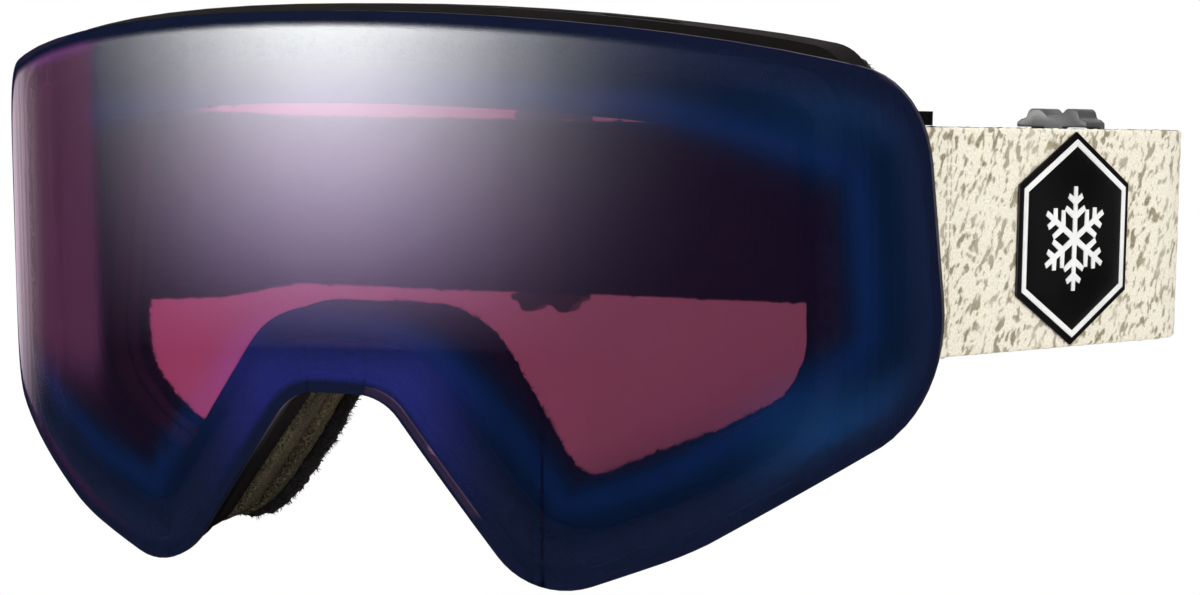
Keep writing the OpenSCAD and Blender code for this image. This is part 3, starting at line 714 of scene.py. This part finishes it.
def strap_plane(point, height, side=1):
    """A point seen from above on the left strap's plane, at a height on it; or its mirror image
    on the side -1."""
    back = point.y - BAR.y
    return Vector((side*point.x, BAR.y + back*math.cos(DROOP) + height*math.sin(DROOP),
                   STRAP_Z - back*math.sin(DROOP) + height*math.cos(DROOP)))


def outward(heading):
    """The direction away from the head of a strap that runs along a heading."""
    return Vector((math.sin(heading), -math.cos(heading)))


def route(s):
    """Point and outward direction of the left strap's middle line, s from the bar."""
    corner_from = RUN + TEMPLE_LEN
    if s < RUN:
        return BAR + Vector((math.cos(LEAVES_AT), math.sin(LEAVES_AT)))*s, outward(LEAVES_AT)
    if s < corner_from:
        out = outward(LEAVES_AT + (s - RUN)/TEMPLE_R)
        return TEMPLE + out*TEMPLE_R, out
    if s < HALF:
        out = outward(math.pi/2 + (s - corner_from)/CORNER_R)
        return CORNER + out*CORNER_R, out
    return Vector((CORNER.x - (s - HALF), BACK_Y)), outward(math.pi)


def layer_at(s, thickness):
    """How far a layer's middle lies from the strap's middle line."""
    opened = BAR_R + BAR_ROOM + thickness/2 - LAYER
    if s >= OPEN_LEN:
        return LAYER
    return LAYER + opened*(1 + math.cos(math.pi*s/OPEN_LEN))/2


BAR_TURNS = 10


def band_line(tail_end, cover_end, step, thickness):
    """Stations of a whole band: the tail's end, round the bar, and the cover to its end.
    Each is (point, outward direction, distance along the band, side)."""
    def run(end, side):
        count = round(end/step)
        for i in range(count + 1):
            s = end*i/count
            point, out = route(s)
            yield point + out*(side*layer_at(s, thickness)), out*side, s*side, side

    radius = BAR_R + BAR_ROOM + thickness/2
    bends = [outward(LEAVES_AT + math.pi + math.pi*i/BAR_TURNS) for i in range(1, BAR_TURNS)]
    return [*reversed(list(run(tail_end, -1))), *((BAR + out*radius, out, 0.0, 0) for out in bends),
            *run(cover_end, 1)]


# Half of the webbing's section: height up the strap as a share of its half width, and
# thickness as a share of its half thickness
SELVEDGE = ((1.0, 0.30), (0.992, 0.72), (0.975, 0.98), (0.945, 1.0), (0.925, 0.86), (0.90, 0.93))


def section(width, thickness, step):
    """The webbing's closed section as (outwards, height) points, from the top down the outside."""
    half_w, half_t = width/2, thickness/2
    top = [(half_t*t, half_w*h) for h, t in SELVEDGE]
    count = round(2*half_w*SELVEDGE[-1][0]/step)
    flat = [(half_t*0.93, half_w*SELVEDGE[-1][0]*(1 - 2*i/count)) for i in range(1, count)]
    outside = top + flat + [(n, -h) for n, h in reversed(top)]
    inside = [(-n, h) for n, h in reversed(outside)]
    return outside + inside, len(outside)


# Past the slider's reach on the wearer's right the webbing hangs below its plane
SAG, SAG_FROM = 4.6*MM, 81*MM
RIPPLE = 0.05*MM
FOLD_END = 9*MM


def sag(place, share):
    """How far the webbing hangs down at a place: its lower edge most."""
    across = eased((-place.x - SAG_FROM)/(24*MM))*eased((place.y - 20*MM)/(55*MM))
    return across*(0.35 - share)*SAG


def webbing(name, rings, finish_of=None):
    """A closed piece from rings of (place, way along, way across), mapped by the last two. Its
    faces take the finish that a function gives for a ring and a place in it."""
    mesh = bmesh.new()
    layer = mesh.loops.layers.uv.new("Along")
    made = [[(mesh.verts.new(place), uv) for place, *uv in ring] for ring in rings]

    def add_face(finish, *corners):
        face = mesh.faces.new([vertex for vertex, _ in corners])
        face.smooth, face.material_index = True, finish
        for loop, (_, uv) in zip(face.loops, corners):
            loop[layer].uv = uv

    for i, (a, b) in enumerate(zip(made, made[1:])):
        for j in range(len(a)):
            k = (j + 1) % len(a)
            add_face(finish_of(i, j) if finish_of else 0, a[j], b[j], b[k], a[k])
    for ring in (made[0], made[-1]):
        if finish_of:
            mesh.faces.new([vertex for vertex, _ in ring]).material_index = 1
        else:
            for j in range(len(ring)//2 - 1):
                add_face(0, ring[j], ring[j + 1], ring[-2 - j], ring[-1 - j])
    return piece_of_faces(name, mesh)


def band(name, look, tail_end, cover_end, mirrored, materials):
    """One half of the strap as a single band with its own map along it."""
    step = 1.0*MM
    stations = band_line(tail_end, cover_end, step, look.thickness)
    around, outer_count = section(look.width, look.thickness, step)
    rings, travelled, before = [], 0.0, stations[0][0]
    side = -1.0 if mirrored else 1.0
    for point, out, _, _ in stations:
        travelled += (point - before).length
        before = point
        loose = 0.35 + 0.85*eased((80*MM - side*point.x)/(40*MM))
        ring = []
        for n, h in around:
            ripple = fringe = 0.0
            if abs(h) < look.width*0.46:
                ripple = RIPPLE*noise.fractal(Vector((travelled*160, h*160, n*900 + side)),
                                              0.7, 2.0, 2)
            elif abs(h) > look.width*0.485:
                fringe = loose*MM*min(0.05, noise.noise(Vector((travelled*1100, side, h*40))))
            place = strap_plane(point + out*(n + ripple), h + math.copysign(fringe, h), side)
            place.z -= sag(place, h/look.width)
            ring.append((place, travelled, h))
        rings.append(ring)

    def finish_of(i, j):
        """The knit shows on the outer face, and on the fold's start as it turns inwards."""
        s, layer = stations[i + 1][2:]
        return 0 if (layer == 1 or s > -FOLD_END) and j < outer_count - 1 else 1

    piece = webbing(name, rings, finish_of)
    for material in materials:
        piece.data.materials.append(material)
    return piece


def bend_with(piece):
    """Bakes the piece's place into its mesh."""
    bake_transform(piece)


def stitch_row(name, places, size):
    """One piece of many stitches, each a small flattened bead at a place and direction."""
    select_only()
    bpy.ops.mesh.primitive_uv_sphere_add(segments=8, ring_count=5, radius=1.0)
    bead = bpy.context.object
    base = [v.co.copy() for v in bead.data.vertices]
    faces = [tuple(p.vertices) for p in bead.data.polygons]
    bpy.data.objects.remove(bead)
    points, polygons = [], []
    for centre, along, out in places:
        across = along.cross(out).normalized()
        start = len(points)
        for co in base:
            arch = 1 - 0.55*co.x*co.x
            points.append(centre + along*(co.x*size[0]) + across*(co.y*size[1])
                          + out*((co.z*0.8 + arch - 0.45)*size[1]))
        polygons += [tuple(start + i for i in f) for f in faces]
    piece = solid_of_points(name, points, polygons)
    smooth_all(piece)
    return piece


# The elastic round a slider's middle bar, seen from above: along the strap, and inwards
LOOP_PATH = ((2.75, 1.95), (2.85, 2.8), (2.8, 3.7), (2.4, 4.25), (1.5, 4.5), (0.0, 4.55),
             (-1.5, 4.5), (-2.4, 4.25), (-2.8, 3.7), (-2.85, 2.8), (-2.75, 1.95))
LOOP_T = 0.7*MM


def bar_loop(name, s, side, width):
    """A fold of elastic round the middle bar of a slider that stands at s along the strap."""
    rows = round(width/MM)
    point, out = route(s)
    along = Vector((-out.y, out.x))
    path = [Vector(p) for p in LOOP_PATH]
    rings = []
    for i, (before, at, after) in enumerate(zip(path[:1] + path, path, path[1:] + path[-1:])):
        way = (after - before).normalized()
        ring = []
        for lift, order in ((0.0, range(rows + 1)), (LOOP_T, range(rows, -1, -1))):
            spot = at*MM + Vector((way.y, -way.x))*lift
            for j in order:
                height = width*(j/rows - 0.5)
                place = strap_plane(point + along*spot.x - out*spot.y, height, side)
                ring.append((place, i*MM, height))
        rings.append(ring)
    return webbing(name, rings)


def snow_crystal(name, reach, wide, thick):
    """Six raised arms with side branches, on the middle of the patch."""
    def way(angle):
        return Vector((math.cos(angle), math.sin(angle)))

    bars = []
    for i in range(6):
        turn = math.pi/6 + i*math.pi/3
        arm = way(turn)*reach
        bars.append((Vector((0, 0)), arm))
        for (where, long), lean in itertools.product(((0.42, 0.34), (0.70, 0.24)), (-1, 1)):
            bars.append((arm*where, arm*where + way(turn + lean*math.pi/3)*(reach*long)))
    point, out = route(PATCH_AT)
    along = Vector((-out.y, out.x))
    foot = LAYER + PATCH_TOP
    points, polygons = [], []
    for k, (a, b) in enumerate(bars):
        run = (b - a).normalized()
        cross = Vector((-run.y, run.x))*wide/2
        middle = (a + b)/2
        start = len(points)
        top = thick - (k % 5)*0.004*MM
        for lift, spread in ((0.0, 1.0), (top*0.75, 1.0), (top, 0.86)):
            for corner in (a - cross, a + cross, b + cross*0.8, b - cross*0.8):
                spot = middle + (corner - middle)*spread
                points.append(strap_plane(point + along*spot.x + out*(foot + lift), spot.y))
        for ring, i in itertools.product((start, start + 4), range(4)):
            j = (i + 1) % 4
            polygons.append((ring + i, ring + j, ring + 4 + j, ring + 4 + i))
        polygons += [tuple(start + 8 + i for i in range(4)), tuple(start + 3 - i for i in range(4))]
    return solid_of_points(name, points, polygons)


# ---- operators --------------------------------------------------------------

class GOGGLES_OT_lenses(bpy.types.Operator):
    """Dress the two lenses and add the mirror coat and the gasket between them"""
    bl_idname = "goggles.lenses"
    bl_label = "Lenses"

    def execute(self, context):
        look = context.scene.goggles_lens
        dress(NODES["outer_lens"], lens_glass("Outer lens", look.outer, 1.5, 0.02))
        dress(NODES["inner_lens"],
              lens_glass("Rose lens", look.inner, 1.45, 0.03, look.inner_deep))
        coat = mirror_sheet(look.film_gap)
        smooth_all(coat)
        finish_piece(coat, mirror_film("Mirror coat", look), "lens", "mirror_lens")
        edge_print = moulded("Edge print", look.print_colour, 0.5, 1800.0, 0.03*MM, 0.05, 0.3)
        finish_piece(rim_sheet(look.film_gap), edge_print, "lens", "mirror_lens")
        gasket = soft_body("lens_spacer_foam", "lens_gasket", 0.6*MM, 2, 1.2*MM, 0.05*MM)
        finish_piece(gasket, foam("Gasket foam", (0.005, 0.005, 0.006), 2200.0, 0.15*MM), "lens",
                     "gasket_foam", "lens_spacer_foam")
        return {"FINISHED"}


def lens_sheet(name, gap, kept, way):
    """The outer lens's faces that are kept by the least and the greatest distance of their points
    from the lens's axis, moved off by the gap along each point's way."""
    sheet = copy_of("outer_lens", name)
    mesh = bmesh.new()
    mesh.from_mesh(sheet.data)
    dropped = []
    for face in mesh.faces:
        reach = [math.hypot(v.co.x, v.co.y - LENS_AXIS_Y) for v in face.verts]
        if not kept(min(reach), max(reach)):
            dropped.append(face)
    bmesh.ops.delete(mesh, geom=dropped, context="FACES")
    mesh.normal_update()
    for vertex in mesh.verts:
        vertex.co += way(vertex)*gap
    mesh.to_mesh(sheet.data)
    mesh.free()
    return sheet


def mirror_sheet(gap):
    """The outer lens's front as a dense sheet just off it, marked with the way to its edge."""
    coat = lens_sheet("mirror_coat", gap, lambda least, most: least >= LENS_MIDDLE_R,
                      lambda v: Vector((v.co.x, v.co.y - LENS_AXIS_Y, 0)).normalized())
    low, high = (CAD_BOX[i][2] for i in (0, 1))
    step = 2*MM
    edit(coat, *((bpy.ops.mesh.bisect, {"plane_co": (0, 0, low + i*step), "plane_no": (0, 0, 1)})
                 for i in range(1, int((high - low)/step))))
    mark_edge(coat)
    return coat


def rim_sheet(gap):
    """The printed rim of the outer lens, just off its cut edge."""
    return lens_sheet("lens_rim_print", gap,
                      lambda least, most: least <= LENS_MIDDLE_R <= most, lambda v: v.normal)


class GOGGLES_OT_frame(bpy.types.Operator):
    """Dress the frame, the lens carrier, the outriggers and their pins"""
    bl_idname = "goggles.frame"
    bl_label = "Frame"

    def execute(self, context):
        look = context.scene.goggles_frame
        rubber = moulded("Frame rubber", look.rubber, 0.78, 1500.0, 0.08*MM, 0.15, 0.03)
        plastic = moulded("Hard plastic", look.plastic, 0.6, 2200.0, 0.04*MM, 0.12, 0.06)
        pins = steel("Pin steel", look.steel)
        for name, material in (
                ("frame", rubber), ("lens_carrier", plastic), ("outrigger_left", plastic),
                ("outrigger_right", plastic), ("hinge_pin_left", pins), ("hinge_pin_right", pins)):
            dress(NODES[name], material)
        return {"FINISHED"}


class GOGGLES_OT_foam(bpy.types.Operator):
    """Model the face foam's layers, the fleece and the vent foam"""
    bl_idname = "goggles.foam"
    bl_label = "Foam and fleece"

    def execute(self, context):
        look = context.scene.goggles_foam
        base = soft_body("foam_base", "face_foam_base", look.voxel, 3, 2.2*MM, 0.10*MM)
        soft = soft_body("face_foam", "face_foam_soft", look.voxel, 4, 2.6*MM, 0.18*MM)
        fleece = soft_body("fleece_lining", "face_fleece", 0.7*MM, 4, 1.0*MM, look.pile)
        push_out(fleece, lambda co: 0.9*MM)
        for piece, back, inwards, material, slot, node in (
                (base, 1.5*MM, 0.3*MM, foam("Base foam", look.base, 2000.0, 0.3*MM),
                 "face_foam", "foam_base"),
                (soft, 3.2*MM, 0.8*MM, foam("Soft foam", look.soft, 1700.0, 0.4*MM),
                 "face_foam", "face_foam"),
                (fleece, 4.6*MM, 1.1*MM, fleece_cloth("Fleece pile", look.fleece),
                 "fleece", "fleece_lining")):
            settle(piece, back, inwards)
            finish_piece(piece, material, "frame", slot, node)
        pile = fibres(fleece, "fleece_pile", 34000, look.fibre, 0.20*MM, 5)
        finish_piece(pile, fleece_cloth("Fleece fibres", look.fleece), "frame", "fleece")
        fluff = fibres(soft, "foam_fluff", 5000, 0.7*MM, 0.10*MM, 6)
        finish_piece(fluff, foam("Foam fluff", look.soft, 950.0, 0.1*MM), "frame", "face_foam")
        vent = foam("Vent foam", look.vent, 700.0, 0.5*MM)
        for node, name in (("vent_foam_top", "brow_vent_foam"),
                           ("vent_foam_bottom", "cheek_vent_foam")):
            piece = soft_body(node, name, 0.6*MM, 2, 1.4*MM, 0.12*MM)
            finish_piece(piece, vent, "frame", "vent_foam", node)
        return {"FINISHED"}


TACK_ROWS = (5.9*MM, 7.2*MM)
TACK_STEP = 1.45*MM


class GOGGLES_OT_strap(bpy.types.Operator):
    """Model the strap as two bands, and sew their folds"""
    bl_idname = "goggles.strap"
    bl_label = "Strap"

    def execute(self, context):
        look = context.scene.goggles_strap
        cloth = knit_cloth("Strap knit", look)
        backing = elastic_back("Strap back", look.back)
        thread = moulded("Sewing thread", look.thread, 0.7, 4000.0, 0.05*MM, 0.0)
        left_end = HALF + CORNER.x - SLIDER_RIGHT_X
        left = band("strap_band_left", look, SLIDER_LEFT_S, left_end, False, (cloth, backing))
        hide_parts("strap_fold_left", "strap_left", "strap_tail_left", "strap_rear")
        bend_with(left)
        right = band("strap_band_right", look, SLIDER_RIGHT_S, SLIDER_RIGHT_S, True,
                     (cloth, backing))
        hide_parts("strap_fold_right", "strap_right", "strap_tail_right")
        bend_with(right)
        for side, name in ((1, "bar_tack_left"), (-1, "bar_tack_right")):
            places = []
            for row, layer in itertools.product(TACK_ROWS, (1, -1)):
                point, out = route(row)
                reach = layer_at(row, look.thickness) + look.thickness*0.47
                spot = point + out*(layer*reach)
                foot = strap_plane(spot, 0.0, side)
                up = (strap_plane(spot, MM, side) - foot).normalized()
                away = (strap_plane(spot + out*(layer*MM), 0.0, side) - foot).normalized()
                places += [(strap_plane(spot, i*TACK_STEP, side), up, away)
                           for i in range(-12, 13)]
            tack = stitch_row(name, places, (0.62*MM, 0.20*MM))
            dress(tack, thread)
            bend_with(tack)
        return {"FINISHED"}


class GOGGLES_OT_sliders(bpy.types.Operator):
    """Round the edges of the sliders and give them their grey plastic"""
    bl_idname = "goggles.sliders"
    bl_label = "Sliders"

    def execute(self, context):
        look = context.scene.goggles_trim
        plastic = moulded("Slider plastic", look.slider, 0.38, 2600.0, 0.05*MM, 0.2)
        for node, name in (("slider_left", "strap_slider_left"),
                           ("slider_right", "strap_slider_right")):
            piece = rounded_copy(node, name, look.slider_edge, 4, 28)
            finish_piece(piece, plastic, node, "grey_plastic", node)
        backing = elastic_back("Loop elastic", context.scene.goggles_strap.back)
        for s, side, name, node in (
                (SLIDER_LEFT_S, 1, "slider_loop_left", "slider_left"),
                (SLIDER_RIGHT_S, -1, "slider_loop_right", "slider_right")):
            loop = bar_loop(name, s, side, context.scene.goggles_strap.width - 0.6*MM)
            finish_piece(loop, backing, node, "strap_fabric")
        return {"FINISHED"}


class GOGGLES_OT_patch(bpy.types.Operator):
    """Round the edges of the patch and its pale line"""
    bl_idname = "goggles.patch"
    bl_label = "Patch"

    def execute(self, context):
        look = context.scene.goggles_trim
        rubber = moulded("Patch rubber", look.patch, 0.5, 1700.0, 0.05*MM, 0.0, 0.3)
        pale = moulded("Patch line", look.line, 0.45, 2400.0, 0.04*MM, 0.0)
        for node, name, width, material, slot in (
                ("patch", "strap_patch", 0.18*MM, rubber, "patch_rubber"),
                ("patch_line", "strap_patch_line", 0.08*MM, pale, "patch_line")):
            piece = rounded_copy(node, name, width, 2, 30)
            finish_piece(piece, material, "frame", slot, node)
        crystal = snow_crystal("strap_patch_crystal", 9.6*MM, 1.25*MM, 0.28*MM)
        finish_piece(crystal, pale, "frame", "patch_line")
        return {"FINISHED"}


class GOGGLES_OT_stage(bpy.types.Operator):
    """Set up the floor, the camera, the lamps and the world"""
    bl_idname = "goggles.stage"
    bl_label = "Stage"

    def execute(self, context):
        look = context.scene.goggles_stage
        scene = context.scene
        camera = linked("Camera", bpy.data.cameras.new("Camera"))
        up = CAMERA_BACK.cross(CAMERA_RIGHT)
        turn = Matrix((CAMERA_RIGHT, up, CAMERA_BACK)).transposed()
        camera.matrix_world = Matrix.Translation(CAMERA_AT) @ turn.to_4x4()
        camera.data.sensor_width = SENSOR
        camera.data.lens = FOCAL_PIXELS/IMAGE_WIDTH*SENSOR
        camera.data.clip_start = 0.01
        scene.camera = camera
        scene.view_settings.view_transform = "Standard"
        select_only()
        low = CAD_BOX[0][2] - 0.3*MM
        bpy.ops.mesh.primitive_plane_add(size=12.0, location=(0, 0, low))
        floor = bpy.context.object
        floor.name = "floor"
        dress(floor, floor_material())
        world_light(scene, look.world)
        lamp("key_lamp", (-0.35, -0.55, 0.75), 0.6, look.key)
        lamp("fill_lamp", (0.75, -0.35, 0.35), 0.5, look.fill)
        lamp("back_lamp", (0.1, 0.9, 0.6), 0.6, look.fill)
        card = reflection_card(look.card)
        return {"FINISHED"}


REFLECTED = (1.0, 0.84, 0.97)
WALL_WAY = (-0.4226, 0.9063, 0.0)


@shared_group("Surround", ("Strength",))
def surround(g, start):
    """How bright the studio is in a direction, for reflections: a pale wall behind on one side."""
    flat = g.vectors("MULTIPLY", {0: start["Vector"], 1: (1.0, 1.0, 0.0)})
    heading = g.vectors("NORMALIZE", {0: flat})
    wall = g.vectors("DOT_PRODUCT", {0: heading, 1: WALL_WAY}, "Value")
    return (g.ramp(wall, 0.56, 0.96, 0.025, 1.0),)


def studio(g, place):
    """Whether the camera or clear glass looks, whether a reflection does, and how bright the
    studio is for that reflection."""
    rays = g.add("LightPath").outputs
    seen = g.maths("MAXIMUM", rays["Is Camera Ray"], rays["Is Transmission Ray"])
    return seen, rays["Is Glossy Ray"], surround(g, place)["Strength"]


def floor_material():
    """Pale floor that lights the object, is white to the camera and dim in most reflections."""
    g = Finish("Floor", Base_Color=(0.8, 0.8, 0.8, 1.0), Roughness=0.9, Specular_IOR_Level=0.1)
    seen, glossy, around = studio(g, g.place)
    white = g.add("Emission", {"Color": (1.0, 1.0, 1.0, 1.0), "Strength": 1.0})
    grey = g.add("Emission", {"Color": (*REFLECTED, 1.0), "Strength": around})
    lit = g.add("MixShader", {0: seen, 1: g.shader.outputs[0], 2: white.outputs[0]})
    return g.shows(g.add("MixShader", {0: glossy, 1: lit.outputs[0], 2: grey.outputs[0]}))


def world_light(scene, strength):
    """Plain soft light; white behind the object, dim in most reflections."""
    scene.world = bpy.data.worlds.new("Studio")
    scene.world.use_nodes = True
    g = Graph(scene.world.node_tree)
    seen, glossy, around = studio(g, g.add("TexCoord").outputs["Generated"])
    other = g.maths("SUBTRACT", g.maths("SUBTRACT", 1.0, seen), glossy)
    shown = g.maths("ADD", seen, g.product(glossy, around))
    g.feed(g.tree.nodes["Background"], {
        "Color": g.mixed(glossy, (1.0, 1.0, 1.0), REFLECTED),
        "Strength": g.maths("ADD", shown, g.product(other, strength))})


def lamp(name, place, size, power):
    """A square soft lamp that looks at the object."""
    made = linked(name, bpy.data.lights.new(name, "AREA"))
    made.data.shape = "SQUARE"
    made.data.size = size
    made.data.energy = power
    made.location = place
    made.rotation_mode = "QUATERNION"
    made.rotation_quaternion = Vector(place).to_track_quat("Z", "Y")
    made.visible_glossy = False


CARD_R = 0.3
CARD_LOW, CARD_HIGH = -49*MM, 300*MM
CARD_FROM, CARD_TO = math.radians(-100), math.radians(125)
GLOW_AT = math.radians(-21)
GLOW_RIGHT, GLOW_LEFT = math.radians(33), math.radians(-34)


def reflection_card(strength):
    """Curved card in front of the goggles that only shows in the lens: brightest at its top and
    towards the wearer's right."""
    select_only()
    bpy.ops.mesh.primitive_grid_add(x_subdivisions=56, y_subdivisions=4, size=1.0)
    card = bpy.context.object
    card.name = "reflection_card"
    for vertex in card.data.vertices:
        heading = CARD_FROM + (CARD_TO - CARD_FROM)*(vertex.co.x + 0.5)
        vertex.co = Vector((CARD_R*math.sin(heading), -CARD_R*math.cos(heading),
                            CARD_LOW + (CARD_HIGH - CARD_LOW)*(vertex.co.y + 0.5)))
    g = Finish("Reflection card")
    axes = g.axes(g.place)
    heading = g.maths("ADD", g.maths("ARCTAN2", axes["X"], g.product(axes["Y"], -1.0)), -GLOW_AT)
    off = g.maths("MAXIMUM", g.maths("DIVIDE", heading, GLOW_RIGHT),
                  g.maths("DIVIDE", heading, GLOW_LEFT))
    wide = g.maths("POWER", math.e, g.product(off, off, -1.0))
    height = g.ramp(axes["Z"], -51*MM, 42*MM, kind="LINEAR")
    tall = g.product(g.maths("POWER", height, 1.4), g.ramp(axes["Z"], 0.28, 0.12))
    in_front = g.maths("LESS_THAN", g.add("LightPath").outputs["Transmission Depth"], 0.5)
    light = g.add("Emission", {
        "Color": g.mixed(height, (1.0, 0.66, 1.32), (0.97, 1.0, 0.98)),
        "Strength": g.product(wide, tall, in_front, strength)})
    clear = g.add("BsdfTransparent")
    dress(card, g.shows(g.add("AddShader", {0: light.outputs[0], 1: clear.outputs[0]})))
    for rays in ("camera", "diffuse", "transmission", "shadow"):
        setattr(card, "visible_" + rays, False)
    return card


OPERATORS = (GOGGLES_OT_stage, GOGGLES_OT_lenses, GOGGLES_OT_frame, GOGGLES_OT_foam,
             GOGGLES_OT_strap, GOGGLES_OT_sliders, GOGGLES_OT_patch)


class GOGGLES_PT_panel(bpy.types.Panel):
    """Lists the goggles' operators and settings"""
    bl_label = "Goggles"
    bl_idname = "GOGGLES_PT_panel"
    bl_space_type = "VIEW_3D"
    bl_region_type = "UI"
    bl_category = "Goggles"

    def draw(self, context):
        for operator in OPERATORS:
            self.layout.operator(operator.bl_idname)
        for name in GROUPS:
            box = self.layout.box()
            settings = getattr(context.scene, name)
            for setting in settings.__annotations__:
                box.prop(settings, setting)


def register():
    for kind in (*GROUPS.values(), *OPERATORS, GOGGLES_PT_panel):
        bpy.utils.register_class(kind)
    for name, kind in GROUPS.items():
        setattr(bpy.types.Scene, name, PointerProperty(type=kind))


def unregister():
    for name in GROUPS:
        delattr(bpy.types.Scene, name)
    for kind in (GOGGLES_PT_panel, *reversed(OPERATORS), *reversed(list(GROUPS.values()))):
        bpy.utils.unregister_class(kind)


def main():
    register()
    bpy.ops.goggles.stage()
    bpy.ops.goggles.lenses()
    bpy.ops.goggles.frame()
    bpy.ops.goggles.foam()
    bpy.ops.goggles.strap()
    bpy.ops.goggles.sliders()
    bpy.ops.goggles.patch()


if __name__ == "__main__":
    main()
